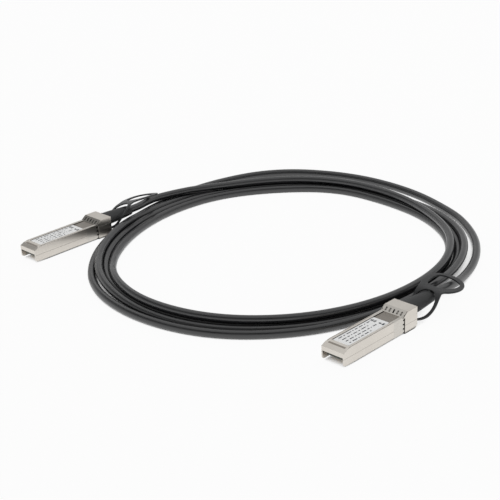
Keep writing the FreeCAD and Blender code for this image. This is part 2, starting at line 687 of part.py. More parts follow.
def wire_pair(name, key, side, s, p):
    """Two insulated wires from the glue block up to the cable's end."""
    low = (p.card_top + s.potting_height / 2).value
    high = (p.ceiling - s.wire_diameter / 2 - s.card_play).value
    stations = [(p.card_end, low), (p.card_end + s.wire_step, low),
                (p.ferrule_start - s.wire_step, high), (p.ferrule_start, high)]
    wires = []
    for lane in range(2):
        x = (s.wire_spacing * side / 2 + s.wire_spacing * side * lane).value
        points = [VECTOR(x, y.value, z) for y, z in stations]
        wires.append(bent_wire(points, s.wire_diameter.value / 2))
    feature = doc.addObject("Part::Feature", f"{name}_{key}")
    feature.Shape = Part.makeCompound(wires)
    return place(feature, p)


def tx_pair(key, s, p):
    """Shielded pair that sends."""
    return wire_pair("tx_pair", key, -1, s, p)


def rx_pair(key, s, p):
    """Shielded pair that receives."""
    return wire_pair("rx_pair", key, 1, s, p)


def crimp_ferrule(key, s, p):
    """Metal tube crimped round the jacket and clamped between the shells."""
    outer = cylinder(f"ferrule_outer_{key}", p, "y", (0, p.ferrule_start, s.cable_height),
                     p.bore_radius - s.slip_gap, s.ferrule_length)
    inner = cylinder(f"ferrule_inner_{key}", p, "y", (0, p.ferrule_start, s.cable_height),
                     s.cable_diameter / 2 + s.slip_gap, s.ferrule_length)
    return boolean("Cut", f"crimp_ferrule_{key}", [outer, inner])


def cable_entry(key, s, p):
    """The cable's own end inside the ferrule and the boot."""
    return cylinder(f"cable_entry_{key}", p, "y", (0, p.ferrule_start, s.cable_height),
                    s.cable_diameter / 2, p.boot_end - p.ferrule_start)


# Sections of the boot: shares of its taper, then degrees round its rounded end.
BOOT_STATIONS = (0, 0.4, 1)
BOOT_END_ANGLES = (45, 90)


def strain_relief_boot(key, s, p):
    """Tapered oval boot with a flange against the block."""
    flange = extrude(
        f"boot_flange_{key}",
        oval(f"flange_outline_{key}", p, (0, p.block_rear, s.cable_height),
             s.boot_flange_width, s.boot_flange_height),
        VECTOR(0, 1, 0), s.boot_flange_length)
    start = p.block_rear + s.boot_flange_length / 2
    taper_end = p.boot_end - s.boot_round
    stations = []
    for share in BOOT_STATIONS:
        bulge = 1 - (1 - share) ** s.boot_bulge.value
        stations.append((start + (taper_end - start) * share,
                         s.boot_base_width + (s.boot_tip_width - s.boot_base_width) * bulge,
                         s.boot_base_height + (s.boot_tip_height - s.boot_base_height) * bulge))
    for angle in BOOT_END_ANGLES:
        forward, inward = math.sin(math.radians(angle)), 1 - math.cos(math.radians(angle))
        stations.append((taper_end + s.boot_round * forward,
                         s.boot_tip_width - s.boot_round * 2 * inward,
                         s.boot_tip_height - s.boot_round * 2 * inward))
    taper = doc.addObject("Part::Loft", f"boot_taper_{key}")
    taper.Sections = [oval(f"boot_section_{index}_{key}", p, (0, y, s.cable_height), width, height)
                      for index, (y, width, height) in enumerate(stations)]
    taper.Solid = True
    taper.Ruled = True
    outside = boolean("MultiFuse", f"boot_outside_{key}", [flange, taper])
    bore = cylinder(f"boot_bore_{key}", p, "y", (0, p.block_rear, s.cable_height),
                    s.cable_diameter / 2 + s.slip_gap, s.boot_length)
    return boolean("Cut", f"strain_relief_boot_{key}", [outside, bore])


def release_slider(key, s, p):
    """Stamped slider: cross web, two rails for the tab, tongue with a cam."""
    body = doc.addObject("PartDesign::Body", f"release_slider_{key}")
    plan = new_sketch(body, f"slider_plan_{key}", "XY_Plane", p.slider_bottom)
    outer, inner = s.slider_width / 2, s.slider_width / 2 - s.slider_rail
    tongue = s.tongue_width / 2
    front = s.front_length + s.slider_inset
    web_end = front + s.slider_web
    tip = p.pivot_y - s.cam_lead
    add_polygon(plan, [(-outer, front), (-tongue, front), (-tongue, tip), (tongue, tip),
                       (tongue, front), (outer, front), (outer, p.slider_rear),
                       (inner, p.slider_rear), (inner, web_end), (-inner, web_end),
                       (-inner, p.slider_rear), (-outer, p.slider_rear)])
    pad(body, plan, s.slider_thickness)
    cam = new_sketch(body, f"slider_cam_{key}", "YZ_Plane", 0)
    add_rectangle(cam, tip, tip + s.cam_length, p.slider_bottom - s.cam_depth, p.slider_top)
    pad(body, cam, s.tongue_width, both_ways=True)
    return body


def latch_rocker(key, s, p):
    """Rocker with the latch boss in front and a cam pad on its tail."""
    body = doc.addObject("PartDesign::Body", f"latch_rocker_{key}")
    arm = new_sketch(body, f"rocker_arm_{key}", "YZ_Plane", 0)
    tail_end = p.pivot_y + s.tail_length
    add_polygon(arm, [(p.arm_front, s.arm_bottom), (tail_end, s.arm_bottom),
                      (tail_end, s.arm_top + s.tail_rise),
                      (p.pivot_y + s.tail_ramp * 2, s.arm_top + s.tail_rise),
                      (p.pivot_y + s.tail_ramp, s.arm_top), (p.arm_front, s.arm_top)])
    pad(body, arm, s.latch_width, both_ways=True)
    barrel = new_sketch(body, f"rocker_barrel_{key}", "YZ_Plane", 0)
    add_circle(barrel, p.pivot_y, s.pivot_height, s.pivot_barrel_radius)
    pad(body, barrel, s.latch_width, both_ways=True)
    boss = new_sketch(body, f"latch_boss_{key}", "YZ_Plane", 0)
    front, rear = p.boss_y - s.boss_length / 2, p.boss_y + s.boss_length / 2
    tip = p.bottom - s.boss_drop
    add_polygon(boss, [(front, tip), (rear, tip), (rear + s.boss_slope, s.arm_bottom),
                       (rear + s.boss_slope, s.arm_top), (front - s.boss_slope, s.arm_top),
                       (front - s.boss_slope, s.arm_bottom)])
    pad(body, boss, s.boss_width, both_ways=True)
    bore = new_sketch(body, f"rocker_bore_{key}", "YZ_Plane", 0)
    add_circle(bore, p.pivot_y, s.pivot_height, s.pin_radius + s.pin_play)
    pocket(body, bore, s.plug_width, both_ways=True)
    return body


def latch_pin(key, s, p):
    """Pin through the lower shell that the rocker turns on."""
    half = p.half - s.collar_wall
    return cylinder(f"latch_pin_{key}", p, "x", (-half, p.pivot_y, s.pivot_height),
                    s.pin_radius, half * 2)


def latch_spring(key, s, p):
    """Small coil spring that presses the latch boss out of the underside."""
    height = (s.latch_pocket_roof - s.arm_top - s.spring_wire).value
    low = (s.arm_top + s.spring_wire / 2).value
    corners = round(s.spring_turns.value * SPRING_CORNERS)
    points = []
    for index in range(corners + 1):
        angle = 2 * math.pi * index / SPRING_CORNERS
        points.append(VECTOR(s.spring_radius.value * math.cos(angle),
                             p.boss_y.value + s.spring_radius.value * math.sin(angle),
                             low + height * index / corners))
    feature = doc.addObject("Part::Feature", f"latch_spring_{key}")
    feature.Shape = bent_wire(points, s.spring_wire.value / 2)
    return place(feature, p)


def shell_screws(key, s, p):
    """Two small screws that hold the shells together from below."""
    screws = []
    head_low = p.bottom + s.screw_sink
    shank_low = head_low + s.screw_head_height
    for side, sign in (("l", -1), ("r", 1)):
        x = s.screw_spacing * sign / 2
        head = cylinder(f"screw_head_{side}_{key}", p, "z", (x, p.screw_y, head_low),
                        s.screw_head_radius, s.screw_head_height)
        shank = cylinder(f"screw_shank_{side}_{key}", p, "z", (x, p.screw_y, shank_low),
                         s.screw_radius, p.ceiling - s.screw_tip_gap - shank_low)
        screws.append(boolean("MultiFuse", f"screw_{side}_{key}", [head, shank]))
    group = doc.addObject("Part::Compound", f"shell_screws_{key}")
    group.Links = screws
    return group


# How far the tab's two faces lean along at each corner of its side view, in half
# thicknesses, so that the rising legs keep their thickness.
TAB_LEAN = (0, 0.5, 1.4, 0.6, 0.2, 0)


def pull_tab(key, s, p):
    """Moulded tab: two legs that rise into a loop round the boot, and a ring."""
    body = doc.addObject("PartDesign::Body", f"tab_strap_{key}")
    side = new_sketch(body, f"tab_side_{key}", "YZ_Plane", 0)
    low, half = s.tab_leg_height - s.tab_leg_dip, s.tab_thickness / 2
    line = [(p.slider_rear, s.tab_leg_height), (p.block_rear + s.tab_leg_low, low),
            (p.block_rear + s.tab_leg_rise, (low + s.tab_height) / 2 - half),
            (p.block_rear + s.tab_leg_top - s.tab_thickness * 2, s.tab_height - half / 2),
            (p.block_rear + s.tab_leg_top, s.tab_height),
            (p.block_rear + s.ring_setback, s.tab_height)]
    upper = [(y - half * lean, z + half) for (y, z), lean in zip(line, TAB_LEAN)]
    lower = [(y + half * lean, z - half) for (y, z), lean in zip(line, TAB_LEAN)]
    add_polygon(side, lower + upper[::-1])
    pad(body, side, s.tab_width, both_ways=True)
    place(body, p)
    arc_y = p.block_rear + s.tab_loop_centre
    tall = s.tab_height + s.tab_thickness
    outer, hole = s.tab_width / 2, s.tab_width / 2 - s.tab_strap
    ring_y = p.block_rear + s.ring_setback
    plan = boolean("MultiFuse", f"tab_plan_{key}", [
        box(f"tab_legs_{key}", p, -outer, outer, p.slider_rear, arc_y, 0, tall),
        cylinder(f"tab_arc_{key}", p, "z", (0, arc_y, 0), outer, tall),
        box(f"tab_web_{key}", p, -s.tab_waist / 2, s.tab_waist / 2, arc_y,
            ring_y - s.ring_hole_length / 2 - s.tab_strap, 0, tall)])
    opening = boolean("MultiFuse", f"tab_opening_{key}", [
        box(f"tab_slot_{key}", p, -hole, hole, p.block_rear, arc_y, 0, tall),
        cylinder(f"tab_slot_end_{key}", p, "z", (0, arc_y, 0), hole, tall)])
    outline = boolean("Cut", f"tab_outline_{key}", [plan, opening])
    strap = boolean("MultiCommon", f"tab_loop_{key}", [body, outline])
    disc = cylinder(f"ring_disc_{key}", FRAME, "z", (0, 0, -half), s.ring_radius, s.tab_thickness)
    eye = extrude(
        f"ring_eye_{key}",
        oval(f"ring_eye_outline_{key}", FRAME, (0, 0, -s.tab_thickness), s.ring_hole_width,
             s.ring_hole_length, 0),
        VECTOR(0, 0, 1), s.tab_thickness * 2)
    ring = boolean("Cut", f"ring_{key}", [disc, eye])
    ring.Placement = FreeCAD.Placement(VECTOR(), FreeCAD.Rotation(VECTOR(0, -1, 0), 1))
    bind(ring, "Placement.Rotation.Angle", p.roll)
    place(ring, p, 0, ring_y, s.tab_height)
    return boolean("MultiFuse", f"pull_tab_{key}", [strap, ring])


PIECES = {
    "lower_shell": lower_shell, "upper_shell": upper_shell, "emi_gasket": emi_gasket,
    "label": label, "paddle_card": paddle_card, "edge_contacts": edge_contacts,
    "memory_chip": memory_chip, "potting_block": potting_block, "tx_pair": tx_pair,
    "rx_pair": rx_pair, "crimp_ferrule": crimp_ferrule, "cable_entry": cable_entry,
    "strain_relief_boot": strain_relief_boot, "release_slider": release_slider,
    "latch_rocker": latch_rocker, "latch_pin": latch_pin, "latch_spring": latch_spring,
    "shell_screws": shell_screws, "pull_tab": pull_tab,
}


def connector(key, s, p):
    """All the pieces of one connector at its place."""
    pieces = {}
    for name, make in PIECES.items():
        piece = make(key, s, p)
        if piece.TypeId == "PartDesign::Body":
            place(piece, p)
        pieces[f"{name}_{key}"] = piece
    return pieces


# ----------------------------------------------------------------- the cable

# Where the cable runs between a boot and the coil, from the boot outwards.  Each
# stretch starts with a straight run out of the boot, which comes from the sheet.
LEAD_ROUTES = {
    "a": [(-107.0, 33.5, 7.0), (-108.8, 42.5, 6.3), (-108.4, 52.0, 5.9),
          (-106.6, 62.0, 5.8), (-103.8, 72.0, 5.8)],
    "b": [(104.2, 54.0, 6.2), (102.0, 65.0, 4.2), (98.2, 77.0, 2.8),
          (93.4, 90.0, 2.3), (87.4, 103.0, 2.3), (79.6, 115.0, 2.3), (66.5, 129.5, 2.3),
          (51.5, 141.0, 2.3), (36.0, 148.5, 2.3)],
}


def tube(name, points, radius):
    """A round tube along straight runs that tangent arcs join."""
    edges = []
    start = points[0]
    for before, corner, after in zip(points, points[1:], points[2:]):
        to_before = before.sub(corner)
        to_after = after.sub(corner)
        half_turn = (math.pi - to_before.getAngle(to_after)) / 2
        reach = 0.45 * min(to_before.Length, to_after.Length)
        bend = reach / math.tan(half_turn)
        print(f"{name}: bend radius {bend:.1f} mm, turn {math.degrees(half_turn * 2):.1f}")
        to_before.normalize()
        to_after.normalize()
        arc_start = corner + to_before * reach
        arc_end = corner + to_after * reach
        inward = (to_before + to_after).normalize()
        middle = corner + inward * (bend / math.cos(half_turn) - bend)
        edges.append(Part.LineSegment(start, arc_start).toShape())
        edges.append(Part.Arc(arc_start, middle, arc_end).toShape())
        start = arc_end
    edges.append(Part.LineSegment(start, points[-1]).toShape())
    path = Part.Wire(edges)
    path_length = path.Length
    ring = Part.makeCircle(radius, points[0], points[1].sub(points[0]))
    solid = path.makePipeShell([Part.Wire([ring])], True, False)
    expected = math.pi * radius ** 2 * path_length
    print(f"{name}: {path_length:.1f} mm long, volume {solid.Volume / expected:.4f} of section x length")
    return solid


def cable_lead(key, s, p):
    """The uncoiled stretch from a boot to the coil."""
    boot_end = (p.y + p.boot_end).value
    exit_points = [VECTOR(p.x.value, y, s.cable_height.value)
                   for y in (boot_end, boot_end + s.exit_run.value)]
    points = exit_points + [VECTOR(*point) for point in LEAD_ROUTES[key]]
    feature = doc.addObject("Part::Feature", f"cable_lead_{key}")
    feature.Shape = tube(feature.Name, points, s.cable_diameter.value / 2)
    return feature


def cable_coil(s, p):
    """One closed solid of the outer shape of the coiled turns, in two layers.

    Connector a's tab leg, whose places are in p, holds the turns off on one side.
    """
    half = s.cable_diameter / 2
    gap = s.tab_width / 2 + s.coil_clearance
    layers = []
    for name, low, thickness, shoulder, lip, tab_reach in (
            ("floor", 0, s.cable_diameter, 0, 0, s.tab_leg_rise),
            ("crown", half, half + s.coil_crown, s.coil_shoulder, s.coil_lip, s.tab_leg_top)):
        outer = extrude(
            f"coil_outer_{name}",
            oval(f"coil_outer_outline_{name}", FRAME, (s.coil_x, s.coil_y, low),
                 (s.coil_major - shoulder) * 2, (s.coil_minor - shoulder) * 2, s.coil_turn),
            VECTOR(0, 0, 1), thickness)
        inner = extrude(
            f"coil_hole_{name}",
            oval(f"coil_hole_outline_{name}", FRAME, (s.coil_hole_x, s.coil_hole_y, low),
                 (s.coil_hole_major + lip) * 2, (s.coil_hole_minor + lip) * 2,
                 s.coil_hole_turn),
            VECTOR(0, 0, 1), thickness)
        turns = boolean("Cut", f"coil_turns_{name}", [outer, inner])
        beside_tab = box(f"coil_beside_tab_{name}", p, -gap, gap, 0,
                         p.block_rear + tab_reach + s.slider_travel, 0, s.tab_height)
        layers.append(boolean("Cut", f"coil_{name}", [turns, beside_tab]))
    return boolean("MultiFuse", "cable_coil", layers)


# ------------------------------------------------------------------ the model

def build():
    """Every sub-part of the cable assembly, by node name."""
    s = make_sheet()
    front_y = -(s.front_length + s.block_length + s.ring_setback + s.ring_radius
                + s.plug_stagger) / 2
    pieces = {}
    for key, x, y, roll in (
            ("a", -s.plug_spread / 2, front_y, s.ring_roll_a),
            ("b", s.plug_spread / 2, front_y + s.plug_stagger, s.ring_roll_b)):
        p = derive(s, x, y, roll)
        pieces.update(connector(key, s, p))
        pieces[f"cable_lead_{key}"] = cable_lead(key, s, p)
        if key == "a":
            pieces["cable_coil"] = cable_coil(s, p)
    doc.recompute()
    return pieces


def check(pieces):
    """Stop unless every object is up to date and every sub-part is sound."""
    for thing in doc.Objects:
        if "Invalid" in thing.State or "Error" in thing.State:
            raise RuntimeError(f"{thing.Name}: {thing.State}")
    for name, piece in pieces.items():
        if piece.Shape.isNull() or not piece.Shape.isValid() or not piece.Shape.Solids:
            raise RuntimeError(f"{name} has no sound shape")


def export(pieces):
    """One STEP file a sub-part."""
    os.makedirs("parts", exist_ok=True)
    for name, piece in pieces.items():
        piece.Label = name
        piece.Shape.exportStep(f"parts/{name}.step")


pieces = build()
check(pieces)
export(pieces)
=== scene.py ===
import math

import bmesh
import bpy
from mathutils import Matrix, Vector


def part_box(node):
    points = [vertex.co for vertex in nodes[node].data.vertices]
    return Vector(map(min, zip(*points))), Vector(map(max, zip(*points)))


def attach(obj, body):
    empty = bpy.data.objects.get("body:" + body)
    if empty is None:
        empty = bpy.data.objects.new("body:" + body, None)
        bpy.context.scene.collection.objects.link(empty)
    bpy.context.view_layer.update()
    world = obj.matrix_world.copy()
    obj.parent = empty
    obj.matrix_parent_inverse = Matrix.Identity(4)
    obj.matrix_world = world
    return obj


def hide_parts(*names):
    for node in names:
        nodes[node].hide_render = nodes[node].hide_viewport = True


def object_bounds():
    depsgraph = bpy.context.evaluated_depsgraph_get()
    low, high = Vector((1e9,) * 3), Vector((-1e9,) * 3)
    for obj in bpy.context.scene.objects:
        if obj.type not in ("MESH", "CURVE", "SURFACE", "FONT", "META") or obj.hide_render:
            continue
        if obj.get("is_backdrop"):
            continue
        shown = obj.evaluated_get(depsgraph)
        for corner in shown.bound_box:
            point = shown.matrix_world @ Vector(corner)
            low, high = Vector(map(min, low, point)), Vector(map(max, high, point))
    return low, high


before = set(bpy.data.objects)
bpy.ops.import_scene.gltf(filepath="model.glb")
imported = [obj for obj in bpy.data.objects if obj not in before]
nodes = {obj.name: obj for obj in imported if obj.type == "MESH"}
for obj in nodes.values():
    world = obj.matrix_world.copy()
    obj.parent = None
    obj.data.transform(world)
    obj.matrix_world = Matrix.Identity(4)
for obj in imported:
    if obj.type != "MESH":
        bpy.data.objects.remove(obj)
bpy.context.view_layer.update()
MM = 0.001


# ---------------------------------------------------------------- the camera
# A long lens on a tripod, looking down across connector b at the whole coil.
# It is held a touch out of level, which tips the far side of the coil up.

LENS = 85.8
STANDPOINT = (420.0, -408.8, 266.45)
LOOK_ALONG = (-0.704, 0.710)
LOOK_DOWN, OUT_OF_LEVEL = 0.4049, -0.039

camera = bpy.data.objects.new("camera", bpy.data.cameras.new("camera"))
bpy.context.scene.collection.objects.link(camera)
camera.data.sensor_width = 36
camera.data.lens = LENS
camera.data.clip_end = 20
view_direction = Vector((*LOOK_ALONG, 0)).normalized() * math.cos(LOOK_DOWN)
view_direction.z = -math.sin(LOOK_DOWN)
camera.matrix_world = (
    Matrix.Translation(Vector(STANDPOINT) * MM)
    @ view_direction.to_track_quat("-Z", "Y").to_matrix().to_4x4()
    @ Matrix.Rotation(OUT_OF_LEVEL, 4, "Z"))
bpy.context.scene.camera = camera
bpy.context.scene.view_settings.view_transform = "Standard"


# ----------------------------------------------------------------- the cable
# One round twinaxial cable of 4.4 mm, about 3 m long, with a smooth extruded
# PVC jacket.  It leaves each boot level with it and lies in a flat coil of four
# and a half turns, loosely laid, with its first turn riding on the others.

CABLE_WIDTH = 4.4

# The leads: from boot a to the coil, and from the coil to boot b.
LEAD_A = [(-104.8, 17.75, 7.6), (-104.8, 25.25, 7.6), (-107.0, 33.5, 7.4), (-108.6, 42.5, 7.0),
          (-107.4, 51.6, 6.8), (-104.7, 61.2, 6.7), (-101.3, 70.6, 6.6)]
LEAD_B = [(59.9, 134.2, 2.3), (76.1, 119.1, 2.3), (87.5, 102.8, 2.3), (94.2, 88.4, 2.3),
          (98.4, 76.0, 2.8), (101.8, 64.8, 4.2), (104.3, 54.0, 6.2),
          (104.8, 42.75, 7.6), (104.8, 35.25, 7.6)]

# Each turn starts at the left and goes round by the back, the right and the
# front; lead a joins the first one two sixteenths round.  For every sixteenth
# of a turn: how far out of the innermost turn the cable lies, and the height
# of its centre line.
STEPS, FIRST_STEP = 16, 2
TURNS = [
    [(7.4, 6.6), (5.0, 6.6), (-0.2, 6.5), (-1.6, 6.5), (2.3, 6.5), (3.4, 6.5), (3.0, 6.4),
     (3.1, 6.4), (3.2, 6.4), (3.8, 6.4), (4.2, 6.6), (3.4, 5.6), (1.8, 2.2), (1.7, 2.2)],
    [(3.2, 2.2), (4.4, 2.2), (1.4, 2.2), (1.8, 2.2), (-4.3, 2.2), (-1.6, 2.2), (1.9, 2.2),
     (2.2, 2.2), (1.1, 2.2), (0.8, 2.2), (1.0, 2.2), (1.9, 2.2), (2.8, 2.2), (5.8, 2.2),
     (6.9, 2.2), (7.4, 2.2)],
    [(7.9, 2.2), (9.3, 2.2), (7.2, 2.2), (6.4, 2.2), (0.4, 2.2), (2.9, 2.2), (6.6, 2.2),
     (7.4, 2.2), (6.2, 2.2), (5.3, 2.2), (5.5, 2.2), (7.2, 2.2), (7.6, 2.4), (10.1, 5.0),
     (10.2, 5.2), (10.2, 5.7)],
    [(12.2, 2.6), (17.4, 2.2), (14.3, 2.2), (11.0, 2.2), (4.9, 2.2), (7.2, 2.9), (9.9, 4.9),
     (10.5, 5.4), (9.3, 5.2), (9.2, 3.4), (10.5, 2.2), (12.4, 2.2), (12.8, 2.2), (15.0, 2.2),
     (13.3, 2.2), (12.8, 2.2)],
    [(16.4, 2.2), (25.8, 2.2), (34.6, 2.2), (27.2, 2.2), (18.9, 2.2), (15.0, 2.2)],
]

# The innermost turn is an oval: its centre, half axes and direction.
OVAL_CENTRE = (-1.8, 42.7)
OVAL_LONG, OVAL_SHORT, OVAL_TURN = 97.6, 88.4, math.radians(-83.6)

# The cable touches the middles of the lines between its points, so the points
# of the coil stand a little outside its lanes.
route = list(LEAD_A)
lanes = [lane for turn in TURNS for lane in turn]
for step, (outward, height) in enumerate(lanes, FIRST_STEP):
    angle = math.pi - step * 2 * math.pi / STEPS
    radius = OVAL_LONG * OVAL_SHORT / math.hypot(OVAL_SHORT * math.cos(angle - OVAL_TURN),
                                                 OVAL_LONG * math.sin(angle - OVAL_TURN))
    reach = (radius + outward) / math.cos(math.pi / STEPS)
    route.append((OVAL_CENTRE[0] + reach * math.cos(angle),
                  OVAL_CENTRE[1] + reach * math.sin(angle), height))
route += LEAD_B

cable_curve = bpy.data.curves.new("cable_line", "CURVE")
cable_curve.dimensions = "3D"
cable_curve.resolution_u = 10
cable_curve.use_fill_caps = True
cable_spline = cable_curve.splines.new("NURBS")
cable_spline.points.add(len(route) - 1)
for point, position in zip(cable_spline.points, route):
    point.co = (*(Vector(position) * MM), 1)
cable_spline.order_u = 3
cable_spline.use_endpoint_u = True
cable_line = bpy.data.objects.new("cable_line", cable_curve)
bpy.context.scene.collection.objects.link(cable_line)

# Its centre line is read off before the spline gets its thickness.
centre_line = bpy.data.meshes.new_from_object(cable_line)
cable_curve.bevel_depth = CABLE_WIDTH / 2 * MM
cable_curve.bevel_resolution = 8
bpy.context.view_layer.update()
cable = bpy.data.objects.new("cable", bpy.data.meshes.new_from_object(
    cable_line.evaluated_get(bpy.context.evaluated_depsgraph_get())))
bpy.context.scene.collection.objects.link(cable)
bpy.data.objects.remove(cable_line)
cable.data.materials.clear()
cable.data.shade_smooth()
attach(cable, "assembly")
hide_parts("cable_coil", "cable_lead_a", "cable_lead_b")


def srgb(text):
    """Linear colour of an sRGB hex value."""
    parts = [int(text[i:i + 2], 16) / 255 for i in (0, 2, 4)]
    linear = [c / 12.92 if c <= 0.04045 else ((c + 0.055) / 1.055) ** 2.4 for c in parts]
    return (*linear, 1)


def new_material(name):
    """An empty node material."""
    material = bpy.data.materials.new(name)
    material.use_nodes = True
    material.node_tree.nodes.clear()
    return material


def add(material, kind, inputs=None, **settings):
    """Add a node with its settings; an input is a value, or an output to link."""
    node = material.node_tree.nodes.new("ShaderNode" + kind)
    for name, value in settings.items():
        setattr(node, name, value)
    for name, value in (inputs or {}).items():
        if isinstance(value, bpy.types.NodeSocket):
            material.node_tree.links.new(value, node.inputs[name])
        else:
            node.inputs[name].default_value = value
    return node


# Extruded PVC: black with a satin skin.  The cooling plastic leaves a fine
# orange peel, 0.5 mm wide and a little coarser than the real one so that it
# shows, and handling a few duller patches.
pvc = new_material("extruded_pvc")
place = add(pvc, "TexCoord").outputs["Object"]
peel = add(pvc, "TexNoise", {"Vector": place, "Scale": 1 / (0.5 * MM), "Detail": 3})
patches = add(pvc, "TexNoise", {"Vector": place, "Scale": 1 / (14 * MM), "Detail": 4})
relief = add(pvc, "Bump", {"Height": peel.outputs["Fac"], "Strength": 0.35,
                           "Distance": 0.02 * MM})
shade = add(pvc, "Mix", {0: patches.outputs["Fac"], 6: srgb("131417"), 7: srgb("1D1E21")},
            data_type="RGBA")
dullness = add(pvc, "MapRange", {"Value": patches.outputs["Fac"], "From Min": 0.3, "From Max": 0.7,
                                 "To Min": 0.25, "To Max": 0.36})
skin = add(pvc, "BsdfPrincipled", {
    "Base Color": shade.outputs[2], "Roughness": dullness.outputs[0], "IOR": 1.53,
    "Specular IOR Level": 0.95, "Normal": relief.outputs[0]})
add(pvc, "OutputMaterial", {"Surface": skin.outputs[0]})
cable.data.materials.append(pvc)
for key in "ab":
    nodes[f"cable_entry_{key}"].data.materials[0] = pvc


# ---------------------------------------------------------------- the shells
# Each connector is two zinc die castings, screwed together from below, and
# plated with satin nickel.  Their edges are rounded in the casting and by the
# tumbling that follows it.

# Satin nickel on zinc: warm light grey, softly blurred reflections, a faint
# cast skin of 0.7 mm, and brighter, smoother edges where the tumbling and the
# cage have rubbed it, brightened in colour partly as a painted highlight.  Dark
# lines of painted shade, for the shadow in hairline joints, run along the top
# beside each side wall and along the parting line of the two shells, and the
# crevices narrower than 1.4 mm are darkened with painted shade.  The floor of
# the label recess is painted darker, as painted shade.
JOINT_ACROSS, JOINT_WIDTH, PARTING_HEIGHT = 6.35, 0.2, 4.5
PLUG_BOTTOM, PLUG_TOP, RECESS_FLOOR = 0.7, 9.2, 8.85
RECESS_HALF, AXIS_TO_MIDDLE = 5.1, 104.8

nickel = new_material("satin_nickel_on_zinc")
place = add(nickel, "TexCoord").outputs["Object"]
cast_skin = add(nickel, "TexNoise", {"Vector": place, "Scale": 1 / (0.7 * MM), "Detail": 3})
clouds = add(nickel, "TexNoise", {"Vector": place, "Scale": 1 / (9 * MM), "Detail": 3})
rounded = add(nickel, "Bevel", {"Radius": 0.16 * MM}, samples=6)
facing = add(nickel, "NewGeometry").outputs["Normal"]
edge_match = add(nickel, "VectorMath", {0: rounded.outputs[0], 1: facing},
                 operation="DOT_PRODUCT")
edges = add(nickel, "MapRange", {"Value": edge_match.outputs["Value"], "From Min": 0.98,
                                 "From Max": 0.8, "To Min": 0, "To Max": 1})
spot = add(nickel, "SeparateXYZ", {0: place})
side_way = add(nickel, "Math", {0: spot.outputs["X"]}, operation="ABSOLUTE")
off_axis = add(nickel, "Math", {0: side_way.outputs[0], 1: AXIS_TO_MIDDLE * MM},
               operation="SUBTRACT")
off_axis = add(nickel, "Math", {0: off_axis.outputs[0]}, operation="ABSOLUTE")
# Painted shade: dark lines along the top beside each side wall and along the parting line, for the
# shadow in the joints.
on_joint = add(nickel, "Math", {0: off_axis.outputs[0], 1: JOINT_ACROSS * MM,
                                2: JOINT_WIDTH / 2 * MM}, operation="COMPARE")
on_rail = add(nickel, "Math", {0: spot.outputs["Z"], 1: PLUG_TOP * MM, 2: 0.25 * MM},
              operation="COMPARE")
top_joint_shade = add(nickel, "Math", {0: on_joint.outputs[0], 1: on_rail.outputs[0]},
                operation="MULTIPLY")
parting = add(nickel, "Math", {0: spot.outputs["Z"], 1: PARTING_HEIGHT * MM,
                               2: JOINT_WIDTH * 0.4 * MM}, operation="COMPARE")
parting = add(nickel, "Math", {0: parting.outputs[0], 1: 0.6}, operation="MULTIPLY")
joint_shade = add(nickel, "Math", {0: top_joint_shade.outputs[0], 1: parting.outputs[0]},
             operation="MAXIMUM")
relief = add(nickel, "Bump", {"Height": cast_skin.outputs["Fac"], "Strength": 0.3,
                              "Distance": 0.02 * MM, "Normal": rounded.outputs[0]})
plate = add(nickel, "Mix", {0: clouds.outputs["Fac"], 6: srgb("D1CBC3"), 7: srgb("E1DCD4")},
            data_type="RGBA")
# The edges are brightened in colour, partly for rubbed plating and partly as a painted highlight.
rubbed_and_highlit = add(nickel, "Mix", {0: edges.outputs[0], 6: plate.outputs[2], 7: srgb("F0ECE6")},
           data_type="RGBA")
# Painted shade: the floor of the label recess is painted darker.
at_floor = add(nickel, "Math", {0: spot.outputs["Z"], 1: RECESS_FLOOR * MM, 2: 0.1 * MM},
               operation="COMPARE")
between_rails = add(nickel, "Math", {0: off_axis.outputs[0], 1: RECESS_HALF * MM},
                    operation="LESS_THAN")
in_recess = add(nickel, "Math", {0: at_floor.outputs[0], 1: between_rails.outputs[0]},
                operation="MULTIPLY")
recess_shaded = add(nickel, "Mix", {0: in_recess.outputs[0], 6: rubbed_and_highlit.outputs[2], 7: srgb("958E86")},
              data_type="RGBA")
# The painted shade of the joints goes on here.
joint_shaded = add(nickel, "Mix", {0: joint_shade.outputs[0], 6: recess_shaded.outputs[2], 7: srgb("4A423C")},
            data_type="RGBA")
# Painted shade: crevices narrower than 1.4 mm are darkened by how closed in they are.
openness = add(nickel, "AmbientOcclusion", {"Distance": 1.4 * MM}, samples=8)
crevice = add(nickel, "MapRange", {"Value": openness.outputs["AO"], "From Min": 0.7,
                                   "From Max": 0.93, "To Min": 0.95, "To Max": 0})
crevice_shaded = add(nickel, "Mix", {0: crevice.outputs[0], 6: joint_shaded.outputs[2], 7: srgb("262320")},
            data_type="RGBA")
blur = add(nickel, "MapRange", {"Value": clouds.outputs["Fac"], "To Min": 0.24, "To Max": 0.38})
metal = add(nickel, "BsdfPrincipled", {
    "Base Color": crevice_shaded.outputs[2], "Metallic": 1, "Roughness": blur.outputs[0],
    "Normal": relief.outputs[0]})
add(nickel, "OutputMaterial", {"Surface": metal.outputs[0]})
for key in "ab":
    for shell in ("lower_shell", "upper_shell"):
        nodes[f"{shell}_{key}"].data.materials[0] = nickel


# ------------------------------------------------------ the shielding collar
# A collar of stamped stainless spring steel that clips round the shells ahead
# of the block.  Its slotted fingers press against the cage.

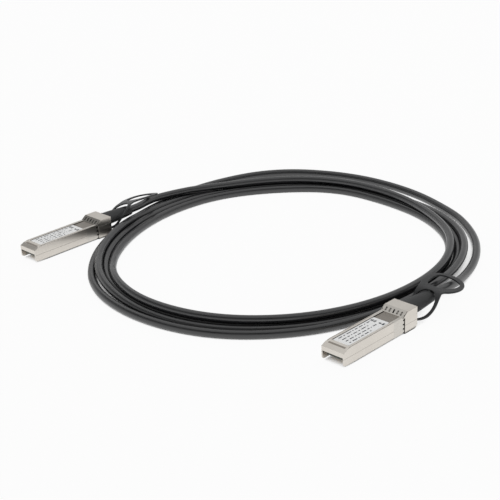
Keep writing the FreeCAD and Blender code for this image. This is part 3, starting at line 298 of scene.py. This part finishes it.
# Rolled stainless steel: a slightly darker grey than the nickel, with fine
# rolling lines across the connector, 0.3 mm apart, and crevices darkened with
# painted shade.  The gaps between its fingers, 0.5 mm wide, are painted black as
# shade and are drawn a little wider than they are, so that they show: five up
# the ramp, three in each side.  Its flat top, in the recess behind the label, is
# painted darker, as painted shade.
FINGER_PITCH, GAP_WIDTH = 2.3, 0.84
RAMP_MIDDLE, RAMP_HALF = 10.05, 0.65
GAPS_ACROSS, SIDE_ACROSS = 5.3, 6.4

# Where the side gaps lie along the connectors, one of which lies farther back
# than their middle and the other as much farther forward.
SIDE_GAPS_MIDDLE, SIDE_GAPS_HALF, LAID_APART = -3.5, 0.7, 8.75

stainless = new_material("rolled_stainless_steel")
place = add(stainless, "TexCoord").outputs["Object"]
along = add(stainless, "Mapping", {"Vector": place, "Scale": (0.05, 1, 1)})
rolling = add(stainless, "TexNoise", {"Vector": along.outputs[0], "Scale": 1 / (0.3 * MM),
                                      "Detail": 2})
relief = add(stainless, "Bump", {"Height": rolling.outputs["Fac"], "Strength": 0.25,
                                 "Distance": 0.01 * MM})
bright = add(stainless, "Mix", {0: rolling.outputs["Fac"], 6: srgb("C3BFB8"), 7: srgb("DAD6CF")},
             data_type="RGBA")
# A darker copy of the steel's colour, painted shade for the collar's flat top.
shaded_tone = add(stainless, "Mix", {0: rolling.outputs["Fac"], 6: srgb("857F78"), 7: srgb("A29C94")},
           data_type="RGBA")
spot = add(stainless, "SeparateXYZ", {0: place})
side_way = add(stainless, "Math", {0: spot.outputs["X"]}, operation="ABSOLUTE")
off_axis = add(stainless, "Math", {0: side_way.outputs[0], 1: AXIS_TO_MIDDLE * MM},
               operation="SUBTRACT")
off_axis = add(stainless, "Math", {0: off_axis.outputs[0]}, operation="ABSOLUTE")
from_gap = add(stainless, "Math", {0: off_axis.outputs[0], 1: FINGER_PITCH / 2 * MM},
               operation="PINGPONG")
across_gap = add(stainless, "Math", {0: from_gap.outputs[0], 1: GAP_WIDTH / 2 * MM},
                 operation="LESS_THAN")
up_ramp = add(stainless, "Math", {0: spot.outputs["Z"], 1: RAMP_MIDDLE * MM,
                                  2: RAMP_HALF * MM}, operation="COMPARE")
inside = add(stainless, "Math", {0: off_axis.outputs[0], 1: GAPS_ACROSS * MM},
             operation="LESS_THAN")
top_gap = add(stainless, "Math", {0: across_gap.outputs[0], 1: up_ramp.outputs[0]},
              operation="MULTIPLY")
top_gap = add(stainless, "Math", {0: top_gap.outputs[0], 1: inside.outputs[0]},
              operation="MULTIPLY")
# Painted shade: the collar's flat top in the recess is painted darker.
flat_top = add(stainless, "Math", {0: spot.outputs["Z"], 1: RECESS_FLOOR * MM, 2: 0.15 * MM},
               operation="COMPARE")
flat_top = add(stainless, "Math", {0: flat_top.outputs[0], 1: inside.outputs[0]},
               operation="MULTIPLY")
tone = add(stainless, "Mix", {0: flat_top.outputs[0], 6: bright.outputs[2], 7: shaded_tone.outputs[2]},
           data_type="RGBA")
level = add(stainless, "Math", {0: spot.outputs["Z"], 1: PLUG_BOTTOM * MM},
            operation="SUBTRACT")
from_gap = add(stainless, "Math", {0: level.outputs[0], 1: FINGER_PITCH / 2 * MM},
               operation="PINGPONG")
level_gap = add(stainless, "Math", {0: from_gap.outputs[0], 1: GAP_WIDTH / 2 * MM},
                operation="LESS_THAN")
end_way = add(stainless, "Math", {0: spot.outputs["X"]}, operation="SIGN")
laid = add(stainless, "Math", {0: end_way.outputs[0], 1: LAID_APART * MM}, operation="MULTIPLY")
along = add(stainless, "Math", {0: spot.outputs["Y"], 1: laid.outputs[0]}, operation="SUBTRACT")
at_front = add(stainless, "Math", {0: along.outputs[0], 1: SIDE_GAPS_MIDDLE * MM,
                                   2: SIDE_GAPS_HALF * MM}, operation="COMPARE")
outside = add(stainless, "Math", {0: off_axis.outputs[0], 1: SIDE_ACROSS * MM},
              operation="GREATER_THAN")
side_gap = add(stainless, "Math", {0: level_gap.outputs[0], 1: at_front.outputs[0]},
               operation="MULTIPLY")
side_gap = add(stainless, "Math", {0: side_gap.outputs[0], 1: outside.outputs[0]},
               operation="MULTIPLY")
# Painted shade: the finger gaps, painted black.
gap = add(stainless, "Math", {0: top_gap.outputs[0], 1: side_gap.outputs[0]},
          operation="MAXIMUM")
# Painted shade: crevices are darkened by how closed in they are, along with the painted gaps.
openness = add(stainless, "AmbientOcclusion", {"Distance": 1.4 * MM}, samples=8)
crevice = add(stainless, "MapRange", {"Value": openness.outputs["AO"], "From Min": 0.45,
                                      "From Max": 0.8, "To Min": 0.85, "To Max": 0})
dark = add(stainless, "Math", {0: crevice.outputs[0], 1: gap.outputs[0]}, operation="MAXIMUM")
crevice_shaded = add(stainless, "Mix", {0: dark.outputs[0], 6: tone.outputs[2], 7: srgb("1E1C1A")},
            data_type="RGBA")
metal = add(stainless, "BsdfPrincipled", {
    "Base Color": crevice_shaded.outputs[2], "Metallic": 1, "Roughness": 0.3, "Normal": relief.outputs[0]})
add(stainless, "OutputMaterial", {"Surface": metal.outputs[0]})
for key in "ab":
    for steel_piece in ("emi_gasket", "release_slider", "latch_rocker"):
        nodes[f"{steel_piece}_{key}"].data.materials[0] = stainless


# ----------------------------------------------------------------- the label
# A die-cut polyester sticker with rounded corners, laid in the recess between
# the rails.  Its print is plain ruled marks, bars and blocks.

LABEL_CORNER, CORNER_STEPS = 0.9, 6

# The print, from the label's middle: rows of dashes that start at one distance
# along and end at their own, then single blocks at the end nearest the cable.
PRINT_DASHES = (2.6, 1.2, 3.4, 0.8, 1.9, 2.8, 1.0, 2.2, 3.0, 1.5, 0.7)
PRINT_GAP, PRINT_LINE, PRINT_LIFT = 1.0, 0.62, 0.01
ROW_START, ROWS = -12.6, ((-3.4, 8.4), (-1.2, 6.4), (1.0, 8.8), (3.2, 3.0))
PRINT_BLOCKS = ((-3.9, 12.2, 0.5, 1.9), (-3.0, 12.2, 0.8, 1.9), (-2.0, 12.2, 0.4, 1.9),
                (-1.3, 12.2, 0.7, 1.9), (1.6, 12.1, 1.5, 1.2), (3.5, 12.2, 1.2, 2.0))

# Coated polyester film: white with a very slight gloss and a soft ripple where
# it follows the casting.  It glows faintly, painted light that stands for its
# optical brightener.
film = new_material("white_polyester_film")
place = add(film, "TexCoord").outputs["Object"]
ripple = add(film, "TexNoise", {"Vector": place, "Scale": 1 / (3 * MM), "Detail": 2})
relief = add(film, "Bump", {"Height": ripple.outputs["Fac"], "Strength": 0.3,
                            "Distance": 0.03 * MM})
tone = add(film, "Mix", {0: ripple.outputs["Fac"], 6: srgb("F3F3F1"), 7: srgb("FBFBF9")},
           data_type="RGBA")
# The faint emission is painted light.
skin = add(film, "BsdfPrincipled", {
    "Base Color": tone.outputs[2], "Roughness": 0.42, "IOR": 1.6, "Normal": relief.outputs[0],
    "Emission Color": srgb("F4F6FA"), "Emission Strength": 0.17})
add(film, "OutputMaterial", {"Surface": skin.outputs[0]})

# Thermal ribbon ink: a dark grey that has not covered evenly.
ink = new_material("thermal_ribbon_ink")
place = add(ink, "TexCoord").outputs["Object"]
cover = add(ink, "TexNoise", {"Vector": place, "Scale": 1 / (0.4 * MM), "Detail": 3})
tone = add(ink, "Mix", {0: cover.outputs["Fac"], 6: srgb("2A2C30"), 7: srgb("5E6166")},
           data_type="RGBA")
skin = add(ink, "BsdfPrincipled", {"Base Color": tone.outputs[2], "Roughness": 0.5})
add(ink, "OutputMaterial", {"Surface": skin.outputs[0]})

for key in "ab":
    low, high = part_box(f"label_{key}")
    shape = bmesh.new()
    rim = []
    for corner_x, corner_y, start in ((high.x, high.y, 0), (low.x, high.y, 90),
                                      (low.x, low.y, 180), (high.x, low.y, 270)):
        inset = Vector((1 - 2 * (corner_x == high.x), 1 - 2 * (corner_y == high.y), 0))
        centre = Vector((corner_x, corner_y, high.z)) + inset * LABEL_CORNER * MM
        for step in range(CORNER_STEPS + 1):
            angle = math.radians(start + step * 90 / CORNER_STEPS)
            rim.append(shape.verts.new(
                centre + Vector((math.cos(angle), math.sin(angle), 0)) * LABEL_CORNER * MM))
    face = shape.faces.new(rim)
    walls = bmesh.ops.extrude_face_region(shape, geom=[face])
    bottom = [item for item in walls["geom"] if isinstance(item, bmesh.types.BMVert)]
    bmesh.ops.translate(shape, verts=bottom, vec=(0, 0, low.z - high.z))
    bmesh.ops.recalc_face_normals(shape, faces=shape.faces)

    def mark(across, along, width, length):
        """One printed block: its middle and size, from the label's middle."""
        middle = (low + high) / 2 + Vector((across, along, 0)) * MM
        corners = [(middle.x + i * width * MM / 2, middle.y + j * length * MM / 2,
                    high.z + PRINT_LIFT * MM) for i, j in ((-1, -1), (1, -1), (1, 1), (-1, 1))]
        shape.faces.new([shape.verts.new(corner) for corner in corners]).material_index = 1

    dash = 0
    for across, row_end in ROWS:
        along = ROW_START
        while along < row_end:
            length = PRINT_DASHES[dash % len(PRINT_DASHES)]
            mark(across, along + length / 2, PRINT_LINE, length)
            along += length + PRINT_GAP
            dash += 1
    for block in PRINT_BLOCKS:
        mark(*block)
    sticker = bpy.data.objects.new(f"sticker_{key}", bpy.data.meshes.new(f"sticker_{key}"))
    shape.to_mesh(sticker.data)
    shape.free()
    for finish in (film, ink):
        sticker.data.materials.append(finish)
    bpy.context.scene.collection.objects.link(sticker)
    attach(sticker, "assembly")
    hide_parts(f"label_{key}")


# ---------------------------------------------------- the board and its wires
# A bevelled circuit board with gold contacts in the mouth, a small memory chip,
# and the cable's two pairs of wires soldered on behind it under a block of glue.

# Glass epoxy with a grey-green solder mask: glossy, with the weave of the glass,
# 0.5 mm, just showing through.
glass_epoxy = new_material("grey_solder_mask")
place = add(glass_epoxy, "TexCoord").outputs["Object"]
weave = add(glass_epoxy, "TexChecker", {"Vector": place, "Scale": 1 / (0.5 * MM),
                                        "Color1": srgb("4C524C"), "Color2": srgb("575D56")})
relief = add(glass_epoxy, "Bump", {"Height": weave.outputs["Fac"], "Strength": 0.1,
                                   "Distance": 0.01 * MM})
skin = add(glass_epoxy, "BsdfPrincipled", {
    "Base Color": weave.outputs["Color"], "Roughness": 0.3, "IOR": 1.55,
    "Normal": relief.outputs[0]})
add(glass_epoxy, "OutputMaterial", {"Surface": skin.outputs[0]})

# Hard gold over nickel: yellow, nearly smooth, with the fine scratches of one
# or two insertions.
gold = new_material("hard_gold_plating")
place = add(gold, "TexCoord").outputs["Object"]
along = add(gold, "Mapping", {"Vector": place, "Scale": (1, 0.06, 1)})
scratches = add(gold, "TexNoise", {"Vector": along.outputs[0], "Scale": 1 / (0.12 * MM)})
blur = add(gold, "MapRange", {"Value": scratches.outputs["Fac"], "To Min": 0.15, "To Max": 0.4})
metal = add(gold, "BsdfPrincipled", {
    "Base Color": srgb("E0B65A"), "Metallic": 1, "Roughness": blur.outputs[0]})
add(gold, "OutputMaterial", {"Surface": metal.outputs[0]})

# Moulded epoxy of the chip: charcoal, dull, with a fine sparkle of filler.
chip_epoxy = new_material("moulded_chip_epoxy")
place = add(chip_epoxy, "TexCoord").outputs["Object"]
filler = add(chip_epoxy, "TexNoise", {"Vector": place, "Scale": 1 / (0.1 * MM), "Detail": 2})
tone = add(chip_epoxy, "Mix", {0: filler.outputs["Fac"], 6: srgb("26272A"), 7: srgb("3B3C40")},
           data_type="RGBA")
skin = add(chip_epoxy, "BsdfPrincipled", {"Base Color": tone.outputs[2], "Roughness": 0.6})
add(chip_epoxy, "OutputMaterial", {"Surface": skin.outputs[0]})

# Low-pressure moulded hot melt: amber black, waxy, slightly sunken as it cooled.
hot_melt = new_material("moulded_hot_melt")
place = add(hot_melt, "TexCoord").outputs["Object"]
sink = add(hot_melt, "TexNoise", {"Vector": place, "Scale": 1 / (2.5 * MM), "Detail": 2})
relief = add(hot_melt, "Bump", {"Height": sink.outputs["Fac"], "Strength": 0.5,
                                "Distance": 0.1 * MM})
tone = add(hot_melt, "Mix", {0: sink.outputs["Fac"], 6: srgb("2E2A22"), 7: srgb("4A4335")},
           data_type="RGBA")
skin = add(hot_melt, "BsdfPrincipled", {
    "Base Color": tone.outputs[2], "Roughness": 0.35, "Normal": relief.outputs[0]})
add(hot_melt, "OutputMaterial", {"Surface": skin.outputs[0]})

# Extruded polyolefin round the wires: milky blue, soft gloss.
wire_skin = new_material("extruded_polyolefin")
place = add(wire_skin, "TexCoord").outputs["Object"]
milk = add(wire_skin, "TexNoise", {"Vector": place, "Scale": 1 / (1.5 * MM)})
tone = add(wire_skin, "Mix", {0: milk.outputs["Fac"], 6: srgb("7F93B8"), 7: srgb("A5B4CF")},
           data_type="RGBA")
skin = add(wire_skin, "BsdfPrincipled", {"Base Color": tone.outputs[2], "Roughness": 0.35})
add(wire_skin, "OutputMaterial", {"Surface": skin.outputs[0]})

for key in "ab":
    for node_name, finish in (
            ("paddle_card", glass_epoxy), ("edge_contacts", gold), ("memory_chip", chip_epoxy),
            ("potting_block", hot_melt), ("tx_pair", wire_skin), ("rx_pair", wire_skin)):
        nodes[f"{node_name}_{key}"].data.materials[0] = finish


# ------------------------------------------- ferrule, latch pin and fasteners
# A crimped steel ferrule grips the cable's braid inside the block.  The rocker
# turns on a ground pin over a small coil spring, and two screws close the
# shells from below.

# Bright zinc on steel: clear grey with a faint drawn grain of 0.2 mm.
zinc_plated = new_material("bright_zinc_on_steel")
place = add(zinc_plated, "TexCoord").outputs["Object"]
grain = add(zinc_plated, "TexNoise", {"Vector": place, "Scale": 1 / (0.2 * MM), "Detail": 2})
blur = add(zinc_plated, "MapRange", {"Value": grain.outputs["Fac"], "To Min": 0.2, "To Max": 0.45})
metal = add(zinc_plated, "BsdfPrincipled", {
    "Base Color": srgb("9FA1A3"), "Metallic": 1, "Roughness": blur.outputs[0]})
add(zinc_plated, "OutputMaterial", {"Surface": metal.outputs[0]})
for key in "ab":
    for node_name in ("crimp_ferrule", "latch_pin", "latch_spring", "shell_screws"):
        nodes[f"{node_name}_{key}"].data.materials[0] = zinc_plated


# ------------------------------------------------------ strain relief boots
# A tapered boot of soft PVC moulded over the cable and its ferrule.  It leaves
# the block with a flat flange, narrows towards its rounded end, and has a thin
# parting line along each side.

# From the flange to the end: distance behind the block, width, height.
BOOT_SECTIONS = [
    (0.0, 11.4, 7.0), (0.12, 11.8, 7.4), (0.98, 11.8, 7.4), (1.1, 11.5, 7.1), (1.12, 10.95, 7.12),
    (1.5, 10.8, 7.0), (3.5, 10.66, 6.91), (6.0, 10.41, 6.75), (8.5, 10.1, 6.55), (11.0, 9.73, 6.31),
    (13.5, 9.31, 6.04), (16.0, 8.86, 5.74), (18.0, 8.48, 5.5), (18.7, 8.34, 5.4),
    (19.15, 8.15, 5.2), (19.45, 7.7, 4.78), (19.6, 6.9, 4.6), (19.6, 4.5, 4.5), (17.0, 4.44, 4.44)]
BOOT_SIDES = 72

# How far the parting line stands out, and which sections it runs through.
PARTING_LINE, PARTED = 0.07, range(5, 15)

# Soft PVC: a dark grey, quite matt, from a spark-eroded mould whose texture is
# 0.35 mm wide.
soft_pvc = new_material("moulded_soft_pvc")
place = add(soft_pvc, "TexCoord").outputs["Object"]
spark = add(soft_pvc, "TexNoise", {"Vector": place, "Scale": 1 / (0.35 * MM), "Detail": 3})
handled = add(soft_pvc, "TexNoise", {"Vector": place, "Scale": 1 / (6 * MM), "Detail": 3})
relief = add(soft_pvc, "Bump", {"Height": spark.outputs["Fac"], "Strength": 0.5,
                                "Distance": 0.04 * MM})
tone = add(soft_pvc, "Mix", {0: handled.outputs["Fac"], 6: srgb("2A2B2C"), 7: srgb("363738")},
           data_type="RGBA")
skin = add(soft_pvc, "BsdfPrincipled", {
    "Base Color": tone.outputs[2], "Roughness": 0.58, "IOR": 1.5, "Normal": relief.outputs[0]})
add(soft_pvc, "OutputMaterial", {"Surface": skin.outputs[0]})

for key in "ab":
    low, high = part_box(f"strain_relief_boot_{key}")
    shape = bmesh.new()
    rings = []
    for index, (behind, width, height) in enumerate(BOOT_SECTIONS):
        ring = []
        for side in range(BOOT_SIDES):
            angle = 2 * math.pi * side / BOOT_SIDES
            lift = PARTING_LINE if side % (BOOT_SIDES // 2) == 0 and index in PARTED else 0
            ring.append(shape.verts.new((
                (low.x + high.x) / 2 + (width / 2 + lift) * MM * math.cos(angle),
                low.y + behind * MM,
                (low.z + high.z) / 2 + (height / 2) * MM * math.sin(angle))))
        rings.append(ring)
    for near, far in zip(rings, rings[1:]):
        for side in range(BOOT_SIDES):
            after = (side + 1) % BOOT_SIDES
            shape.faces.new((near[side], far[side], far[after], near[after]))
    shape.faces.new(rings[0])
    bmesh.ops.recalc_face_normals(shape, faces=shape.faces)
    boot = bpy.data.objects.new(f"boot_{key}", bpy.data.meshes.new(f"boot_{key}"))
    shape.to_mesh(boot.data)
    shape.free()
    boot.data.shade_smooth()
    boot.data.set_sharp_from_angle(angle=math.radians(38))
    boot.data.materials.append(soft_pvc)
    bpy.context.scene.collection.objects.link(boot)
    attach(boot, "assembly")
    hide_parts(f"strain_relief_boot_{key}")


# -------------------------------------------------------------- the pull tabs
# Each tab is moulded flat in one piece of tough black elastomer: two legs that
# leave the block beside the boot and join over it, a web, and a finger ring.
# It is fixed to the slider's rails inside the block.

TAB_THICKNESS, TAB_ROUND, TAB_LENGTH = 0.95, 0.25, 44

# The flat tab: distance behind the block, and distance from the middle line.
# Only the ends of the legs have sharp corners.
TAB_OUTLINE = [
    (0.3, 7.0), (6.0, 8.0), (12.0, 8.6), (17.0, 7.9), (20.6, 7.4), (23.4, 9.2), (28.0, 10.7),
    (33.8, 10.4), (38.8, 7.9), (42.2, 3.0), (43.0, -2.6), (41.2, -7.4), (37.9, -9.7),
    (32.5, -10.3), (26.3, -9.5), (20.6, -7.5), (14.5, -6.85), (7.0, -6.85), (0.3, -6.85),
    (0.3, -5.4), (7.0, -5.75), (13.0, -5.65), (17.3, -4.1), (19.5, 0.0), (17.6, 4.8), (13.5, 6.8),
    (7.0, 6.5), (0.3, 5.4)]
TAB_CORNERS = (0, 18, 19, 27)
RING_HOLE = [
    (24.2, -0.9), (25.3, -5.2), (30.0, -6.9), (34.6, -7.5), (38.7, -6.3), (39.9, -2.1),
    (38.0, 4.9), (36.0, 7.0), (32.1, 7.9), (27.6, 6.7), (24.6, 2.6)]

# How each tab is bent: distance along the flat tab, how far behind the block it
# then lies, height of its middle line, and sideways slope.  Tab a rises sooner,
# and its near side stands higher.
TAB_BEND = {
    "a": [(0, 0, 3.9, 0), (3, 2.9, 3.8, 0.09), (6, 5.6, 4.8, 0.21), (9, 8.0, 6.6, 0.3),
          (12, 10.2, 8.2, 0.32), (15, 12.8, 10.4, 0.33), (17, 14.7, 11.5, 0.34),
          (19.5, 17.2, 12.3, 0.34), (24, 21.8, 12.9, 0.33), (34, 31.8, 12.9, 0.31),
          (44, 41.7, 12.0, 0.29)],
    "b": [(0, 0, 3.8, 0), (3, 3, 3.1, 0), (7, 7, 3.1, 0), (10, 10, 4.3, 0), (13, 13, 6.2, 0),
          (15.5, 15.5, 8.1, 0), (17.5, 17.5, 9.7, 0), (19.5, 19.5, 10.6, 0), (23, 23, 10.7, -0.04),
          (32, 31.7, 10.2, -0.07), (44, 43.0, 9.4, -0.07)],
}


def smooth_value(rows, at, column):
    """A column of the rows at one distance, on a smooth line through them."""
    index = max(i for i in range(len(rows) - 1) if rows[i][0] <= max(at, rows[0][0]))
    start, end = rows[index], rows[index + 1]
    span = end[0] - start[0]
    part = (at - start[0]) / span

    def slope(i):
        before, after = rows[max(i - 1, 0)], rows[min(i + 1, len(rows) - 1)]
        return (after[column] - before[column]) / (after[0] - before[0])

    square, cube = part * part, part ** 3
    return ((2 * cube - 3 * square + 1) * start[column]
            + (cube - 2 * square + part) * span * slope(index)
            + (3 * square - 2 * cube) * end[column]
            + (cube - square) * span * slope(index + 1))


# Thermoplastic elastomer: black, satin, with a fine moulded grain of 0.3 mm and
# slightly greyer where fingers pull it.
elastomer = new_material("moulded_elastomer")
place = add(elastomer, "TexCoord").outputs["Object"]
moulded = add(elastomer, "TexNoise", {"Vector": place, "Scale": 1 / (0.3 * MM), "Detail": 2})
handled = add(elastomer, "TexNoise", {"Vector": place, "Scale": 1 / (5 * MM), "Detail": 3})
relief = add(elastomer, "Bump", {"Height": moulded.outputs["Fac"], "Strength": 0.4,
                                 "Distance": 0.03 * MM})
tone = add(elastomer, "Mix", {0: handled.outputs["Fac"], 6: srgb("1F2022"), 7: srgb("2C2D2F")},
           data_type="RGBA")
skin = add(elastomer, "BsdfPrincipled", {
    "Base Color": tone.outputs[2], "Roughness": 0.45, "IOR": 1.5, "Normal": relief.outputs[0]})
add(elastomer, "OutputMaterial", {"Surface": skin.outputs[0]})

for key in "ab":
    low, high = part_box(f"lower_shell_{key}")
    block_rear, middle = high.y, (low.x + high.x) / 2
    flat = bpy.data.curves.new(f"tab_outline_{key}", "CURVE")
    flat.dimensions = "2D"
    flat.fill_mode = "BOTH"
    flat.resolution_u = 8
    flat.extrude = (TAB_THICKNESS / 2 - TAB_ROUND) * MM
    flat.bevel_depth = TAB_ROUND * MM
    flat.bevel_resolution = 2
    flat.offset = -TAB_ROUND * MM
    for outline in (TAB_OUTLINE, RING_HOLE):
        loop = flat.splines.new("BEZIER")
        loop.bezier_points.add(len(outline) - 1)
        loop.use_cyclic_u = True
        for index, (point, (behind, across)) in enumerate(zip(loop.bezier_points, outline)):
            point.co = (across * MM, behind * MM, 0)
            corner = outline is TAB_OUTLINE and index in TAB_CORNERS
            point.handle_left_type = point.handle_right_type = "VECTOR" if corner else "AUTO"
    drawn = bpy.data.objects.new(flat.name, flat)
    bpy.context.scene.collection.objects.link(drawn)
    bpy.context.view_layer.update()
    mesh = bpy.data.meshes.new_from_object(
        drawn.evaluated_get(bpy.context.evaluated_depsgraph_get()))
    bpy.data.objects.remove(drawn)
    shape = bmesh.new()
    shape.from_mesh(mesh)
    bmesh.ops.remove_doubles(shape, verts=shape.verts, dist=0.002 * MM)
    for cut in range(1, TAB_LENGTH):
        bmesh.ops.bisect_plane(
            shape, geom=list(shape.verts) + list(shape.edges) + list(shape.faces),
            dist=0.001 * MM, plane_co=(0, cut * MM, 0), plane_no=(0, 1, 0))
    bend = TAB_BEND[key]
    for vertex in shape.verts:
        across, along, height = (value / MM for value in vertex.co)
        ahead, back = ([smooth_value(bend, along + shift, column) for column in (1, 2)]
                       for shift in (0.05, -0.05))
        steep = math.atan2(ahead[1] - back[1], ahead[0] - back[0])
        vertex.co = (
            middle + across * MM,
            block_rear + (smooth_value(bend, along, 1) - height * math.sin(steep)) * MM,
            (smooth_value(bend, along, 2) + height * math.cos(steep)
             + across * smooth_value(bend, along, 3)) * MM)
    bmesh.ops.recalc_face_normals(shape, faces=shape.faces)
    shape.to_mesh(mesh)
    shape.free()
    tab = bpy.data.objects.new(f"tab_{key}", mesh)
    mesh.shade_smooth()
    mesh.set_sharp_from_angle(angle=math.radians(50))
    even = tab.modifiers.new("even_shading", "WEIGHTED_NORMAL")
    even.keep_sharp = True
    mesh.materials.clear()
    mesh.materials.append(elastomer)
    bpy.context.scene.collection.objects.link(tab)
    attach(tab, f"release_{key}")
    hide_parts(f"pull_tab_{key}")


# ----------------------------------------------------------- floor and light
# A sheet of white card under a wide white room with a dark ceiling, and one
# large soft lamp high behind it.  The card glows white where it lies open, and
# is plainly lit where the object closes over it, within 9 mm.

CARD_HALF = 4
LAMP_PLACE, LAMP_AIM = (-0.15, 0.35, 1.1), (0, 0.05, 0)

floor_mesh = bpy.data.meshes.new("floor")
floor_mesh.from_pydata(
    [(x * CARD_HALF, y * CARD_HALF, 0) for x, y in ((-1, -1), (1, -1), (1, 1), (-1, 1))],
    [], [(0, 1, 2, 3)])
floor = bpy.data.objects.new("floor", floor_mesh)
bpy.context.scene.collection.objects.link(floor)
floor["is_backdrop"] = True
card = new_material("white_card")
seen = add(card, "LightPath")
mirrored = add(card, "Math", {0: seen.outputs["Is Camera Ray"], 1: seen.outputs["Is Glossy Ray"]},
               operation="MAXIMUM")
mirrored = add(card, "Math", {0: mirrored.outputs[0], 1: seen.outputs["Is Transmission Ray"]},
               operation="MAXIMUM")
openness = add(card, "AmbientOcclusion", {"Distance": 9 * MM}, samples=8)
open_card = add(card, "MapRange", {"Value": openness.outputs["AO"], "From Min": 0.1,
                                   "From Max": 0.36, "To Min": 0, "To Max": 0.95})
share = add(card, "Math", {0: mirrored.outputs[0], 1: open_card.outputs[0]},
            operation="MULTIPLY")
matt = add(card, "BsdfPrincipled", {"Base Color": srgb("F4F4F3"), "Roughness": 0.9})
bright = add(card, "Emission", {"Color": srgb("FFFFFF"), "Strength": 1.0})
mixed = add(card, "MixShader", {0: share.outputs[0], 1: matt.outputs[0], 2: bright.outputs[0]})
add(card, "OutputMaterial", {"Surface": mixed.outputs[0]})
floor.data.materials.append(card)

world = bpy.data.worlds.new("studio")
bpy.context.scene.world = world
world.use_nodes = True
world.node_tree.nodes.clear()
upward = add(world, "SeparateXYZ", {0: add(world, "TexCoord").outputs["Generated"]}).outputs["Z"]
wall_to_ceiling = add(world, "MapRange", {"Value": upward, "From Min": 0.06, "From Max": 0.6,
                                          "To Min": 0.98, "To Max": 0.12})
room = add(world, "Background", {"Color": srgb("FFFFFF"), "Strength": wall_to_ceiling.outputs[0]})
add(world, "OutputWorld", {"Surface": room.outputs[0]})

lamp = bpy.data.objects.new("softbox", bpy.data.lights.new("softbox", "AREA"))
bpy.context.scene.collection.objects.link(lamp)
lamp.data.size = 2.2
lamp.data.energy = 10
lamp.location = LAMP_PLACE
lamp.rotation_euler = (Vector(LAMP_AIM) - lamp.location).to_track_quat("-Z", "Y").to_euler()


# ------------------------------------------------------------------- the end

bpy.context.view_layer.update()
low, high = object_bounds()
